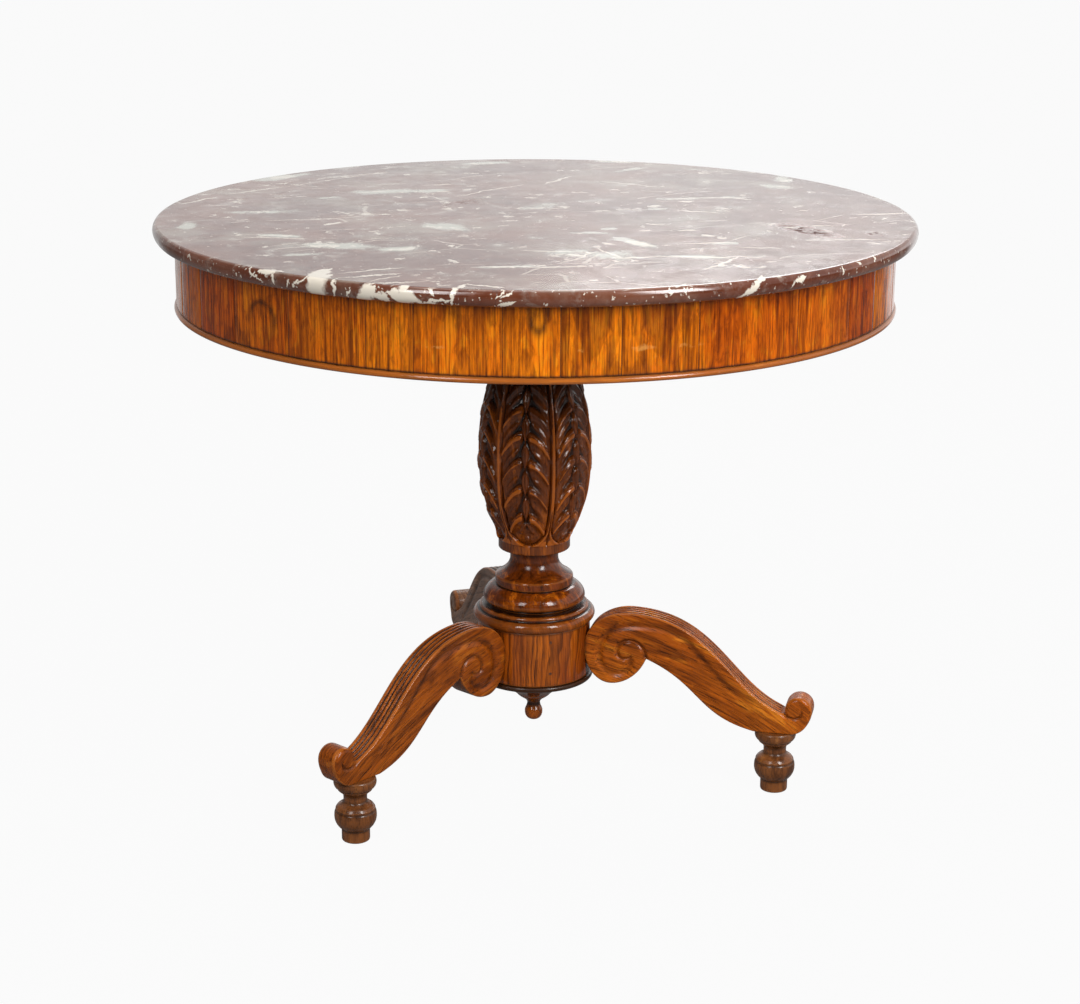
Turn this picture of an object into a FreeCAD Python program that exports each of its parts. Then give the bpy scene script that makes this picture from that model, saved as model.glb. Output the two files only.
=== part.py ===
import FreeCAD, Part
import math
import os
from FreeCAD import Vector

# round marble-topped centre table on a carved column and three scroll legs
# millimetres, floor at z = 0, axis of the column on z, back leg towards +y

# marble slab, laid loose on the rim
top_diameter = 970.0
top_thickness = 20.0
top_edge_rise = 8.0
top_edge_run = 6.0
top_under_run = 9.0

# rim of the top: bricked-up core, upright veneer, bead along the lower edge
apron_diameter = 917.0
rim_height = 83.0
rim_thickness = 32.0
course_count = 3
bricks_per_course = 8
veneer_thickness = 1.6
veneer_leaf_count = 32
bead_height = 8.0
bead_proud = 2.8
bead_depth = 16.0
bead_piece_count = 8

# crossed bearers housed in the rim, with glue blocks and screws
bearer_width = 80.0
bearer_thickness = 45.0
bearer_housing = 15.0
block_along = 40.0
block_across = 26.0
block_height = 32.0
screw_diameter = 5.0
screw_head_diameter = 10.0
screw_head_height = 3.5
screw_bite = 18.0
screw_sink = 1.0
screw_spread = 44.0

# legs and feet
foot_height = 85.0
foot_radius = 18.0
foot_bulb_radius = 27.0
foot_neck_radius = 15.0
foot_collar_radius = 27.3
foot_spigot_radius = 9.0
foot_spigot_length = 18.0
leg_count = 3
leg_width = 35.0
leg_reach = 330.0
leg_rise = 149.0
leg_scroll_drop = 49.0
leg_crest_out = 58.0
leg_bite = 3.5
leg_toe = 49.0
roll_radius = 18.0
roll_lift = 33.5
reed_count = 5
reed_groove = 2.4
reed_depth = 2.2
volute_groove = 3.2
volute_depth = 2.4
tenon_width = 14.0
tenon_height = 46.0
tenon_length = 32.0

# drum that takes the legs, with its cap, base and hanging drop
drum_radius = 75.4
drum_height = 75.0
drum_bottom = 142.0
cap_round_height = 15.0
cap_round_radius = 81.4
cap_step_height = 6.0
cap_step_radius = 73.3
base_height = 7.0
base_radius = 79.5
drop_length = 66.0
drop_dish_radius = 52.0
drop_ball_radius = 12.0
drop_spigot_radius = 9.0
drop_spigot_length = 15.0

# column: turned neck, carved baluster with long spigots, capital
neck_height = 80.0
neck_cushion_radius = 68.0
neck_fillet_radius = 52.0
neck_waist_radius = 32.0
baluster_height = 272.0
baluster_radius = 76.4
baluster_ring_radius = 47.6
baluster_ring_height = 11.5
spigot_radius = 18.0
spigot_end_gap = 10.0
capital_neck_radius = 33.0
capital_top_radius = 70.0
capital_height = 104.0
peg_radius = 2.0
peg_turn = 0.0
wedge_top = 6.0
wedge_tip = 1.5
wedge_length = 30.0
spigot_top_gap = 1.0

# heights that follow from the sizes above
drum_top = drum_bottom + drum_height
cap_top = drum_top + cap_round_height + cap_step_height
neck_top = cap_top + neck_height
baluster_top = neck_top + baluster_height
bearer_bottom = baluster_top + capital_height
rim_top = bearer_bottom + bearer_thickness
rim_bottom = rim_top - rim_height
table_height = rim_top + top_thickness
spigot_bottom = drum_bottom + spigot_end_gap
spigot_top = rim_top - spigot_top_gap

# radii that follow from the sizes above
top_radius = top_diameter / 2
apron_radius = apron_diameter / 2
core_radius = apron_radius - veneer_thickness
core_inner = core_radius - rim_thickness
bearer_reach = core_inner + bearer_housing

axis = Vector(0, 0, 1)
origin = Vector(0, 0, 0)


def outline(start, steps):
    # a step of 2 numbers is a straight line, of 4 an arc by way of a point, of 6 a curve with two handles
    edges = []
    here = Vector(start[0], 0, start[1])
    for step in steps:
        points = [Vector(step[i], 0, step[i + 1]) for i in range(0, len(step), 2)]
        if here.distanceToPoint(points[-1]) < 1e-6:
            continue
        if len(points) == 1:
            edges.append(Part.makeLine(here, points[0]))
        elif len(points) == 2:
            edges.append(Part.Arc(here, points[0], points[1]).toShape())
        else:
            curve = Part.BezierCurve()
            curve.setPoles([here] + points)
            edges.append(curve.toShape())
        here = points[-1]
    first = Vector(start[0], 0, start[1])
    if here.distanceToPoint(first) > 1e-6:
        edges.append(Part.makeLine(here, first))
    return Part.Face(Part.Wire(edges))


def turned(start, steps, sweep=360.0, begin=0.0):
    solid = outline(start, steps).revolve(origin, axis, sweep)
    solid.rotate(origin, axis, begin)
    return solid


def rod(radius, low, high):
    return Part.makeCylinder(radius, high - low, Vector(0, 0, low))


def box(x0, x1, y0, y1, z0, z1):
    return Part.makeBox(x1 - x0, y1 - y0, z1 - z0, Vector(x0, y0, z0))


def spun(shape, degrees):
    copy = shape.copy()
    copy.rotate(origin, axis, degrees)
    return copy


def save(name, shapes):
    solids = []
    for shape in shapes:
        solids.extend(shape.Solids)
    group = solids[0] if len(solids) == 1 else Part.makeCompound(solids)
    group.exportStep("parts/" + name + ".step")
    print(name, len(solids), round(group.Volume / 1000.0, 1), group.isValid())


os.makedirs("parts", exist_ok=True)

# marble slab with a soft rounded edge
top_side = rim_top + top_thickness - top_edge_rise
marble = turned(
    (0, rim_top),
    [
        (top_radius - top_under_run, rim_top),
        (top_radius - top_under_run * 0.45, rim_top, top_radius, top_side - 7.0, top_radius, top_side),
        (
            top_radius, top_side + top_edge_rise * 0.55,
            top_radius - top_edge_run * 0.45, table_height,
            top_radius - top_edge_run, table_height,
        ),
        (0, table_height),
    ],
)
save("marble_top", [marble])

# crossed bearers, halved over each other, ends rounded to their housings
lap_height = bearer_bottom + bearer_thickness / 2
half = bearer_width / 2
reach_disc = rod(bearer_reach, bearer_bottom, rim_top)
bearer_box = box(-bearer_reach - 1, bearer_reach + 1, -half, half, bearer_bottom, rim_top)
bearer_bar = bearer_box.common(reach_disc)
spigot_hole = rod(spigot_radius, bearer_bottom - 1, rim_top + 1)
lap_cut_upper = box(-half, half, -half, half, lap_height, rim_top)
lap_cut_lower = box(-half, half, -half, half, bearer_bottom, lap_height)
bearer_under = bearer_bar.cut(lap_cut_upper).cut(spigot_hole)
bearer_over = spun(bearer_bar, 90).cut(lap_cut_lower).cut(spigot_hole)

# countersunk screws down through the bearer ends into the floor of the housings
screw_top = rim_top - screw_sink
screw_low = bearer_bottom - screw_bite
shank = screw_diameter / 2
screw = turned(
    (0, screw_low),
    [
        (shank, screw_low + 6.0),
        (shank, screw_top - screw_head_height),
        (screw_head_diameter / 2, screw_top),
        (0, screw_top),
    ],
)
screw_well = rod(screw_head_diameter / 2, screw_top, rim_top + 1)
screws = []
wells = []
for quarter in range(4):
    for side in (-0.5, 0.5):
        place = Vector(bearer_reach - bearer_housing / 2, side * screw_spread, 0)
        one = screw.copy()
        one.translate(place)
        screws.append(spun(one, 90 * quarter))
        one = screw_well.copy()
        one.translate(place)
        wells.append(spun(one, 90 * quarter))
screw_group = Part.makeCompound(screws)
well_group = Part.makeCompound(wells)
bearer_under = bearer_under.cut(screw_group).cut(well_group)
bearer_over = bearer_over.cut(screw_group).cut(well_group)
save("bearer_under", [bearer_under])
save("bearer_over", [bearer_over])
save("bearer_screws", screws)

# glue blocks in the corners between bearers and rim
inner_disc = rod(core_inner, bearer_bottom - 1, rim_top + 1)
block = box(
    core_inner - block_along, core_inner + 5, half, half + block_across,
    bearer_bottom, bearer_bottom + block_height,
).common(inner_disc)
mirrored = block.mirror(origin, Vector(0, 1, 0))
blocks = [spun(piece, 90 * quarter) for quarter in range(4) for piece in (block, mirrored)]
save("glue_blocks", blocks)

# rim core: courses of short curved bricks with staggered joints
housing = bearer_bar.fuse(spun(bearer_bar, 90))
course_height = rim_height / course_count
brick_angle = 360.0 / bricks_per_course
course_names = ["rim_course_lower", "rim_course_middle", "rim_course_upper"]
for level in range(course_count):
    low = rim_bottom + level * course_height
    high = low + course_height
    bricks = []
    for index in range(bricks_per_course):
        brick = turned(
            (core_inner, low),
            [(core_radius, low), (core_radius, high), (core_inner, high)],
            brick_angle,
            (index + 0.5 * (level % 2)) * brick_angle,
        )
        if high > screw_low:
            brick = brick.cut(housing).cut(screw_group)
        bricks.append(brick)
    save(course_names[level], bricks)

# upright veneer leaves round the rim
leaf_angle = 360.0 / veneer_leaf_count
leaves = []
for index in range(veneer_leaf_count):
    leaf = turned(
        (core_radius, rim_bottom),
        [(apron_radius, rim_bottom), (apron_radius, rim_top), (core_radius, rim_top)],
        leaf_angle,
        index * leaf_angle,
    )
    leaves.append(leaf)
save("apron_veneer", leaves)

# bead under the rim, in bent lengths
bead_low = rim_bottom - bead_height
bead_inner = apron_radius - bead_depth
bead_angle = 360.0 / bead_piece_count
beads = []
for index in range(bead_piece_count):
    bead = turned(
        (bead_inner, bead_low),
        [
            (apron_radius - 0.4, bead_low),
            (apron_radius + bead_proud, bead_low + bead_height * 0.45, apron_radius - 0.4, rim_bottom - 0.8),
            (apron_radius - 0.4, rim_bottom),
            (bead_inner, rim_bottom),
        ],
        bead_angle,
        (index + 0.25) * bead_angle,
    )
    beads.append(bead)
save("apron_bead", beads)

# drum with mortises for the leg tenons and a socket for the column spigot
scroll_z = foot_height + leg_rise - leg_scroll_drop
leg_turns = [90.0 + 360.0 / leg_count * index for index in range(leg_count)]
leg_names = ["back", "left", "right"]
tenon = box(
    drum_radius - tenon_length, drum_radius + 20.0, -tenon_width / 2, tenon_width / 2,
    scroll_z - tenon_height / 2, scroll_z + tenon_height / 2,
)
spigot_lower = rod(spigot_radius, spigot_bottom, neck_top)
drum_disc = rod(drum_radius, drum_bottom, drum_top)
peg_rod = Part.makeCylinder(peg_radius, drum_radius, Vector(0, -drum_radius - 1, 0), Vector(0, 1, 0))
pegs = []
for share in (0.25, 0.83):
    peg = peg_rod.copy()
    peg.translate(Vector(0, 0, drum_bottom + share * drum_height))
    pegs.append(spun(peg, peg_turn).common(drum_disc))
peg_group = Part.makeCompound(pegs)
drop_spigot = rod(drop_spigot_radius, drum_bottom - base_height, drum_bottom - base_height + drop_spigot_length)
drum = drum_disc.cut(spigot_lower).cut(drop_spigot).cut(peg_group)
for turn in leg_turns:
    drum = drum.cut(spun(tenon, turn))
save("drum", [drum])
save("column_pegs", pegs)

# cap of the drum: half-round under a plain step
cap_mid = drum_top + cap_round_height
cap = turned(
    (spigot_radius, drum_top),
    [
        (drum_radius, drum_top),
        (cap_round_radius, drum_top + cap_round_height * 0.45, cap_step_radius + 1.5, cap_mid),
        (cap_step_radius, cap_mid),
        (cap_step_radius, cap_top - 2.0),
        (cap_step_radius - 2.0, cap_top),
        (spigot_radius, cap_top),
    ],
)
save("drum_cap", [cap])

# base ring under the drum and the turned drop below it
base_low = drum_bottom - base_height
base = turned(
    (0, base_low),
    [
        (base_radius - 5.0, base_low),
        (
            base_radius - 1.0, base_low,
            base_radius, base_low + base_height * 0.35, base_radius, base_low + base_height * 0.65,
        ),
        (base_radius - 1.0, drum_bottom),
        (0, drum_bottom),
    ],
).cut(drop_spigot)
save("drum_base", [base])

drop_low = base_low - drop_length
ball_z = drop_low + drop_ball_radius * 1.05
drop_neck_z = base_low - drop_length * 0.62
drop = turned(
    (0, drop_low),
    [
        (drop_ball_radius * 0.72, drop_low + 0.4, drop_ball_radius, ball_z - 7.5, drop_ball_radius, ball_z),
        (drop_ball_radius, ball_z + 5.0, 8.8, drop_neck_z - 6.0, 8.6, drop_neck_z),
        (9.5, drop_neck_z + 6.0, 18.0, drop_neck_z + 8.0, 22.5, base_low - drop_length * 0.42),
        (31.0, base_low - drop_length * 0.26, drop_dish_radius, base_low - 12.0, drop_dish_radius, base_low - 4.0),
        (drop_dish_radius, base_low),
        (0, base_low),
    ],
).fuse(drop_spigot)
save("drop", [drop.removeSplitter()])

# turned neck of the column: cushion, fillet, trumpet and top seat
cushion_top = cap_top + neck_height * 0.35
fillet_top = cushion_top + neck_height * 0.15
neck = turned(
    (spigot_radius, cap_top),
    [
        (neck_cushion_radius - 9.0, cap_top),
        (neck_cushion_radius - 9.0, cap_top + 3.0),
        (neck_cushion_radius - 3.0, cap_top + 3.0, neck_cushion_radius, cap_top + 6.0, neck_cushion_radius, cap_top + 10.0),
        (
            neck_cushion_radius, cap_top + 19.0,
            neck_fillet_radius + 6.0, cushion_top, neck_fillet_radius - 1.0, cushion_top,
        ),
        (neck_fillet_radius, cushion_top + 1.0),
        (neck_fillet_radius, fillet_top),
        (
            neck_waist_radius + 8.0, fillet_top + 6.0,
            neck_waist_radius, fillet_top + 14.0, neck_waist_radius, fillet_top + 24.0,
        ),
        (
            neck_waist_radius, fillet_top + 32.0,
            neck_waist_radius + 2.0, neck_top - 3.0, baluster_ring_radius - 8.0, neck_top,
        ),
        (spigot_radius, neck_top),
    ],
)
save("column_neck", [neck])

# baluster: ring, swelling body, ring, with spigots that run into drum and bearers
body_low = neck_top + baluster_ring_height
body_high = baluster_top - baluster_ring_height
body_mid = body_low + (body_high - body_low) * 0.475
ring_high = baluster_ring_radius
baluster = turned(
    (0, spigot_bottom),
    [
        (spigot_radius, spigot_bottom),
        (spigot_radius, neck_top),
        (ring_high - 1.5, neck_top),
        (ring_high + 0.9, neck_top + baluster_ring_height / 2, ring_high - 1.5, body_low),
        (
            ring_high + 19.0, body_low + 36.0,
            baluster_radius, body_mid - 62.0, baluster_radius, body_mid,
        ),
        (
            baluster_radius, body_mid + 60.0,
            ring_high + 15.0, body_high - 34.0, ring_high - 1.5, body_high,
        ),
        (ring_high + 0.9, baluster_top - baluster_ring_height / 2, ring_high - 1.5, baluster_top),
        (spigot_radius, baluster_top),
        (spigot_radius, spigot_top),
        (0, spigot_top),
    ],
)
wedge_low = spigot_top - wedge_length
wedge = outline(
    (-wedge_tip / 2, wedge_low),
    [(wedge_tip / 2, wedge_low), (wedge_top / 2, spigot_top), (-wedge_top / 2, spigot_top)],
).extrude(Vector(0, 4 * spigot_radius, 0))
wedge.translate(Vector(0, -2 * spigot_radius, 0))
wedge = spun(wedge, 45).common(rod(spigot_radius, wedge_low - 1, spigot_top))
baluster = baluster.cut(peg_group).cut(wedge)
save("baluster", [baluster])
save("spigot_wedge", [wedge])

# capital between baluster and bearers
capital = turned(
    (spigot_radius, baluster_top),
    [
        (baluster_ring_radius - 8.0, baluster_top),
        (
            capital_neck_radius, baluster_top + 5.0,
            capital_neck_radius, baluster_top + 16.0, capital_neck_radius, baluster_top + 28.0,
        ),
        (
            capital_neck_radius, bearer_bottom - 34.0,
            capital_top_radius - 22.0, bearer_bottom - 16.0, capital_top_radius - 3.0, bearer_bottom - 16.0,
        ),
        (capital_top_radius, bearer_bottom - 13.0),
        (capital_top_radius, bearer_bottom),
        (spigot_radius, bearer_bottom),
    ],
)
save("capital", [capital])

# leg: a scroll at the drum, a sweep down to the foot and a roll at the toe
crest = foot_height + leg_rise
inner = drum_radius - leg_bite
crest_rho = drum_radius + leg_crest_out
toe_rho = leg_reach + leg_toe
roll_rho = toe_rho - roll_radius
roll_z = foot_height + roll_lift
left_run = crest_rho - inner
low_run = left_run * 0.585
low_rho = inner + low_run
scroll_low = scroll_z - leg_scroll_drop
round_share = 0.5523
crotch = (low_rho + leg_scroll_drop * 0.99, scroll_z - leg_scroll_drop * 0.22)
crease = (roll_rho - roll_radius * 0.92, roll_z - roll_radius * 0.39)
slope_end = math.radians(-18.0)
fall = Vector(math.cos(slope_end), 0, math.sin(slope_end))
sweep_run = crease[0] - crest_rho
top_handle = sweep_run * 0.55
end_handle = sweep_run * 0.385
seat_in = leg_reach - foot_collar_radius
seat_out = roll_rho - 9.0
under_run = seat_in - crotch[0]


def leg_outline(inset):
    # the upper side moved in by inset gives the floor of the reeds
    lead = Vector(-fall.z, 0, fall.x) * -inset
    end = (crease[0] + lead.x, crease[1] + lead.z)
    top_in = inner + inset
    run = crest_rho - top_in
    rise = crest - scroll_z - inset
    high = scroll_z + rise
    return outline(
        (crest_rho, high),
        [
            (
                crest_rho - round_share * run, high,
                top_in, scroll_z + round_share * rise, top_in, scroll_z,
            ),
            (inner, scroll_z),
            (
                inner, scroll_z - round_share * leg_scroll_drop,
                low_rho - round_share * low_run, scroll_low, low_rho, scroll_low,
            ),
            (
                low_rho + leg_scroll_drop * 0.45, scroll_low,
                crotch[0] - 7.0, crotch[1] - 20.0, crotch[0], crotch[1],
            ),
            (
                crotch[0] + under_run * 0.51, crotch[1] - under_run * 0.205,
                seat_in - under_run * 0.53, foot_height + under_run * 0.11, seat_in, foot_height,
            ),
            (seat_out, foot_height),
            (
                seat_out + (toe_rho - seat_out) * round_share, foot_height,
                toe_rho, roll_z - roll_lift * (1 - round_share), toe_rho, roll_z,
            ),
            (roll_rho, roll_z + roll_radius, crease[0], crease[1]),
            end,
            (
                end[0] - end_handle * fall.x, end[1] - end_handle * fall.z,
                crest_rho + top_handle, high, crest_rho, high,
            ),
        ],
    )


def slab(face, from_y, to_y):
    solid = face.extrude(Vector(0, to_y - from_y, 0))
    solid.translate(Vector(0, from_y, 0))
    return solid


def ring_groove(rho, z, radius, width, from_deg, to_deg):
    # part of a flat ring in the side plane of the leg
    a = math.radians(from_deg)
    b = math.radians(to_deg)
    m = (a + b) / 2
    small = radius - width / 2
    large = radius + width / 2
    return outline(
        (rho + small * math.cos(a), z + small * math.sin(a)),
        [
            (
                rho + small * math.cos(m), z + small * math.sin(m),
                rho + small * math.cos(b), z + small * math.sin(b),
            ),
            (rho + large * math.cos(b), z + large * math.sin(b)),
            (
                rho + large * math.cos(m), z + large * math.sin(m),
                rho + large * math.cos(a), z + large * math.sin(a),
            ),
        ],
    )


side = leg_width / 2
leg_body = slab(leg_outline(0.0), -side, side)
strip = leg_outline(0.0).cut(leg_outline(reed_depth))
pitch = leg_width / reed_count
for index in range(1, reed_count):
    middle = -side + index * pitch
    leg_body = leg_body.cut(slab(strip, middle - reed_groove / 2, middle + reed_groove / 2))
eye_rho = crest_rho - 2.5
grooves = [
    ring_groove(eye_rho, scroll_z, 15.5, volute_groove, 0.0, 290.0),
    ring_groove(low_rho + 12.0, scroll_z, 31.0, volute_groove, 55.0, 300.0),
    ring_groove(roll_rho, roll_z, 8.5, volute_groove * 0.7, -60.0, 230.0),
]
for groove in grooves:
    leg_body = leg_body.cut(slab(groove, side - volute_depth, side + 1))
    leg_body = leg_body.cut(slab(groove, -side - 1, -side + volute_depth))
leg_body = leg_body.cut(rod(drum_radius, 0, drum_top))
foot_spigot = Part.makeCylinder(
    foot_spigot_radius, foot_spigot_length + 1, Vector(leg_reach, 0, foot_height - 1)
)
leg = leg_body.fuse(tenon).removeSplitter().cut(foot_spigot)
for name, turn in zip(leg_names, leg_turns):
    save("leg_" + name, [spun(leg, turn)])

# turned foot with a spigot up into the leg
foot = turned(
    (0, 0),
    [
        (foot_radius - 1.0, 0),
        (foot_radius, 1.5),
        (foot_radius, foot_height * 0.20),
        (
            foot_bulb_radius - 3.0, foot_height * 0.24,
            foot_bulb_radius, foot_height * 0.31, foot_bulb_radius, foot_height * 0.40,
        ),
        (
            foot_bulb_radius, foot_height * 0.45,
            foot_bulb_radius - 1.0, foot_height * 0.49, foot_bulb_radius - 3.0, foot_height * 0.51,
        ),
        (foot_bulb_radius - 4.5, foot_height * 0.515),
        (
            foot_bulb_radius - 5.0, foot_height * 0.57,
            foot_neck_radius, foot_height * 0.59, foot_neck_radius, foot_height * 0.65,
        ),
        (foot_neck_radius, foot_height * 0.70),
        (foot_neck_radius + 4.5, foot_height * 0.73),
        (
            foot_neck_radius + 9.0, foot_height * 0.77,
            foot_collar_radius - 3.0, foot_height * 0.80, foot_collar_radius - 3.0, foot_height * 0.85,
        ),
        (foot_collar_radius - 1.0, foot_height * 0.86),
        (foot_collar_radius, foot_height * 0.92, foot_collar_radius - 1.5, foot_height),
        (foot_spigot_radius, foot_height),
        (foot_spigot_radius, foot_height + foot_spigot_length),
        (0, foot_height + foot_spigot_length),
    ],
)
foot.translate(Vector(leg_reach, 0, 0))
for name, turn in zip(leg_names, leg_turns):
    save("foot_" + name, [spun(foot, turn)])
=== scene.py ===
import math
import bmesh
import bpy
import numpy as np
from mathutils import Matrix


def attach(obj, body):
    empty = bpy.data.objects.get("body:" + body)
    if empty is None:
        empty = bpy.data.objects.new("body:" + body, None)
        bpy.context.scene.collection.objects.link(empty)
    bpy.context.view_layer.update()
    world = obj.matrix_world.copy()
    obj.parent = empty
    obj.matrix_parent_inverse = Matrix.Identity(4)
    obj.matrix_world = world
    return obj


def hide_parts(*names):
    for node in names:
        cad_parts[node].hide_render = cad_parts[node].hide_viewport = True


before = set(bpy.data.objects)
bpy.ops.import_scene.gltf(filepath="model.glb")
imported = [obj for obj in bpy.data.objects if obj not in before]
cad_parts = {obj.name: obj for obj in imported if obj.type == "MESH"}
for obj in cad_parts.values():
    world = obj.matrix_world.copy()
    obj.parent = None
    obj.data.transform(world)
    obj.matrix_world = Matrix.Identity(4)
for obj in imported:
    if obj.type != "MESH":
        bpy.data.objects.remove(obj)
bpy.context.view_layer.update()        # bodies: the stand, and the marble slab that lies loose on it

mm = 0.001
tau = 2 * math.pi
print("frame loaded:", len(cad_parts), "nodes")

# Meshes. All shapes are worked out in millimetres and go into the mesh in metres.

strokeSteps = 80    # points on each stroke of a line before they are spread evenly
woodPlaces = ("grain", "pith")    # values of a sheet that are places in the wood, in millimetres


def arcThrough(a, b, c, t):
    # circle by way of three points: its centre has equal distance to all of them
    turn = 2 * (a[0] * (b[1] - c[1]) + b[0] * (c[1] - a[1]) + c[0] * (a[1] - b[1]))
    aa, bb, cc = a @ a, b @ b, c @ c
    centre = np.array([
        (aa * (b[1] - c[1]) + bb * (c[1] - a[1]) + cc * (a[1] - b[1])) / turn,
        (aa * (c[0] - b[0]) + bb * (a[0] - c[0]) + cc * (b[0] - a[0])) / turn,
    ])
    first, middle, last = (math.atan2(*(p - centre)[::-1]) for p in (a, b, c))
    sweep = (last - first) % tau
    if (middle - first) % tau > sweep:
        sweep -= tau
    angle = first + sweep * t
    return centre + np.hypot(*(a - centre)) * np.hstack([np.cos(angle), np.sin(angle)])


def linePoints(start, steps, gap):
    # even points along straight lines (2 numbers), arcs by way of a point (4), curves with two handles (6)
    here = np.array(start, float)
    line = [here[None]]
    t = np.linspace(0, 1, strokeSteps)[1:, None]
    s = 1 - t
    for step in steps:
        p = np.array(step, float).reshape(-1, 2)
        if len(p) == 1:
            line.append(here + (p[0] - here) * t)
        elif len(p) == 2:
            line.append(arcThrough(here, p[0], p[1], t))
        else:
            line.append(s**3 * here + 3 * s**2 * t * p[0] + 3 * s * t**2 * p[1] + t**3 * p[2])
        here = p[-1]
    return evenly(np.concatenate(line), gap=gap)


def evenly(line, gap=None, count=None):
    # the same line with points at equal distances
    along = np.append(0, np.cumsum(np.hypot(*np.diff(line, axis=0).T)))
    count = count or max(2, int(along[-1] / gap) + 1)
    s = np.linspace(0, along[-1], count)
    return np.stack([np.interp(s, along, line[:, 0]), np.interp(s, along, line[:, 1])], 1)


def softened(line, passes):
    # each point moves to the mean of itself and its neighbours, which rounds sharp corners
    line = line.copy()
    for _ in range(passes):
        line[1:-1] = (line[:-2] + 2 * line[1:-1] + line[2:]) / 4
    return line


def profileWear(line, reach=10, depth=0.22):
    # how far the profile stands proud of (edge) or behind (crevice) its own strongly smoothed line; the
    # recess value darkens with painted shade and wax
    smooth = softened(line, reach)
    run = np.gradient(line, axis=0)
    out = np.stack([run[:, 1], -run[:, 0]], 1)
    out /= np.maximum(np.hypot(*out.T), 1e-9)[:, None]
    proud = ((line - smooth) * out).sum(1)
    return np.clip(proud / depth, 0, 1), np.clip(-proud / depth, 0, 1)


def smoothStep(low, high, x):
    t = np.clip((x - low) / (high - low), 0, 1)
    return t * t * (3 - 2 * t)


def anglesRound(rounds):
    return np.linspace(0, tau, rounds, endpoint=False)[:, None]


def turnedPoints(radius, angle, height):
    # x = r cos a, y = r sin a
    return np.stack([radius * np.cos(angle), radius * np.sin(angle), height + 0 * angle], -1)


def sheet(points, wrapRows=False, wrapCols=False, **values):
    # one grid of points with its values per point
    return {"points": points, "wrap": (wrapRows, wrapCols), "values": values}


def turnedSheet(line, rounds, pith, centre=(0, 0), closed=False, lean=0.05, gaps=()):
    # profile (r, z) turned about an upright axis, with the grain along z from its pith
    radius, height = line[:, 0], line[:, 1]
    points = turnedPoints(radius, anglesRound(rounds), height)
    x, y, z = np.moveaxis(points, -1, 0)
    grain = np.stack([x - pith[0] + lean * z, y - pith[1] + 0.4 * lean * z, z + pith[0]], -1)
    edge, crevice = profileWear(line)
    for gapRadius, gapHeight, reach in gaps:    # painted shade darkens the surface near deep gaps
        away = np.hypot(radius - gapRadius, height - gapHeight)
        crevice = np.maximum(crevice, np.exp(-(away / reach)**2))
    return sheet(points + (*centre, 0), True, closed, grain=grain, edge=edge[None], crevice=crevice[None])


def gridFaces(rows, cols, wrap, first):
    # quads between neighbouring grid points
    index = np.arange(rows * cols).reshape(rows, cols) + first
    if wrap[0]:
        index = np.vstack([index, index[:1]])
    if wrap[1]:
        index = np.hstack([index, index[:, :1]])
    return np.stack([index[:-1, :-1], index[1:, :-1], index[1:, 1:], index[:-1, 1:]], -1).reshape(-1, 4)


def addObject(name, data):
    thing = bpy.data.objects.new(name, data)
    bpy.context.scene.collection.objects.link(thing)
    return thing


def makePiece(name, sheets, material, body, nodes, sharpAngle=50, merge=0.004):
    # joins the sheets into one mesh, closes seams and poles, and puts it in the frame
    corners, faces, first = [], [], 0
    for grid in sheets:
        rows, cols = grid["points"].shape[:2]
        corners.append(grid["points"].reshape(-1, 3))
        faces.append(gridFaces(rows, cols, grid["wrap"], first))
        first += rows * cols
    corners = np.concatenate(corners) * mm
    faces = np.concatenate(faces)
    mesh = bpy.data.meshes.new(name)
    mesh.vertices.add(len(corners))
    mesh.vertices.foreach_set("co", corners.ravel())
    mesh.loops.add(faces.size)
    mesh.loops.foreach_set("vertex_index", faces.ravel().astype(np.int32))
    mesh.polygons.add(len(faces))
    mesh.polygons.foreach_set("loop_start", np.arange(0, faces.size, 4, dtype=np.int32))
    mesh.update(calc_edges=True)
    for key in sheets[0]["values"]:
        data = []
        for grid in sheets:
            shape = grid["points"].shape if key in woodPlaces else grid["points"].shape[:2]
            data.append(np.broadcast_to(grid["values"][key], shape).ravel())
        data = np.concatenate(data)
        if key in woodPlaces:
            mesh.attributes.new(key, "FLOAT_VECTOR", "POINT").data.foreach_set("vector", data * mm)
        else:
            mesh.attributes.new(key, "FLOAT", "POINT").data.foreach_set("value", data)
    work = bmesh.new()
    work.from_mesh(mesh)
    bmesh.ops.remove_doubles(work, verts=work.verts, dist=merge * mm)
    bmesh.ops.dissolve_degenerate(work, dist=1e-7, edges=work.edges)
    bmesh.ops.recalc_face_normals(work, faces=work.faces)
    work.to_mesh(mesh)
    work.free()
    mesh.shade_smooth()
    mesh.set_sharp_from_angle(angle=math.radians(sharpAngle))
    mesh.materials.append(material)
    piece = addObject(name, mesh)
    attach(piece, body)
    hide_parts(*nodes)
    print(name, len(mesh.polygons), "faces")


# Node helpers


def tone(red, green, blue):
    # colour as seen on a screen, 0 to 255, to scene colour
    seen = np.array([red, green, blue]) / 255
    scene = np.where(seen <= 0.04045, seen / 12.92, ((seen + 0.055) / 1.055)**2.4)
    return (*scene.tolist(), 1.0)


def plug(tree, node, sockets):
    # each input takes a link or a plain value
    for key, value in sockets.items():
        if isinstance(value, bpy.types.NodeSocket):
            tree.links.new(value, node.inputs[key])
        else:
            node.inputs[key].default_value = value


def put(tree, kind, sockets=None, **settings):
    node = tree.nodes.new("ShaderNode" + kind)
    for key, value in settings.items():
        setattr(node, key, value)
    plug(tree, node, sockets or {})
    return node


def calc(tree, operation, a, b=0.0, clamp=False):
    return put(tree, "Math", {0: a, 1: b}, operation=operation, use_clamp=clamp).outputs[0]


def plus(tree, a, b, clamp=False):
    return calc(tree, "ADD", a, b, clamp)


def times(tree, a, b, clamp=False):
    return calc(tree, "MULTIPLY", a, b, clamp)


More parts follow.
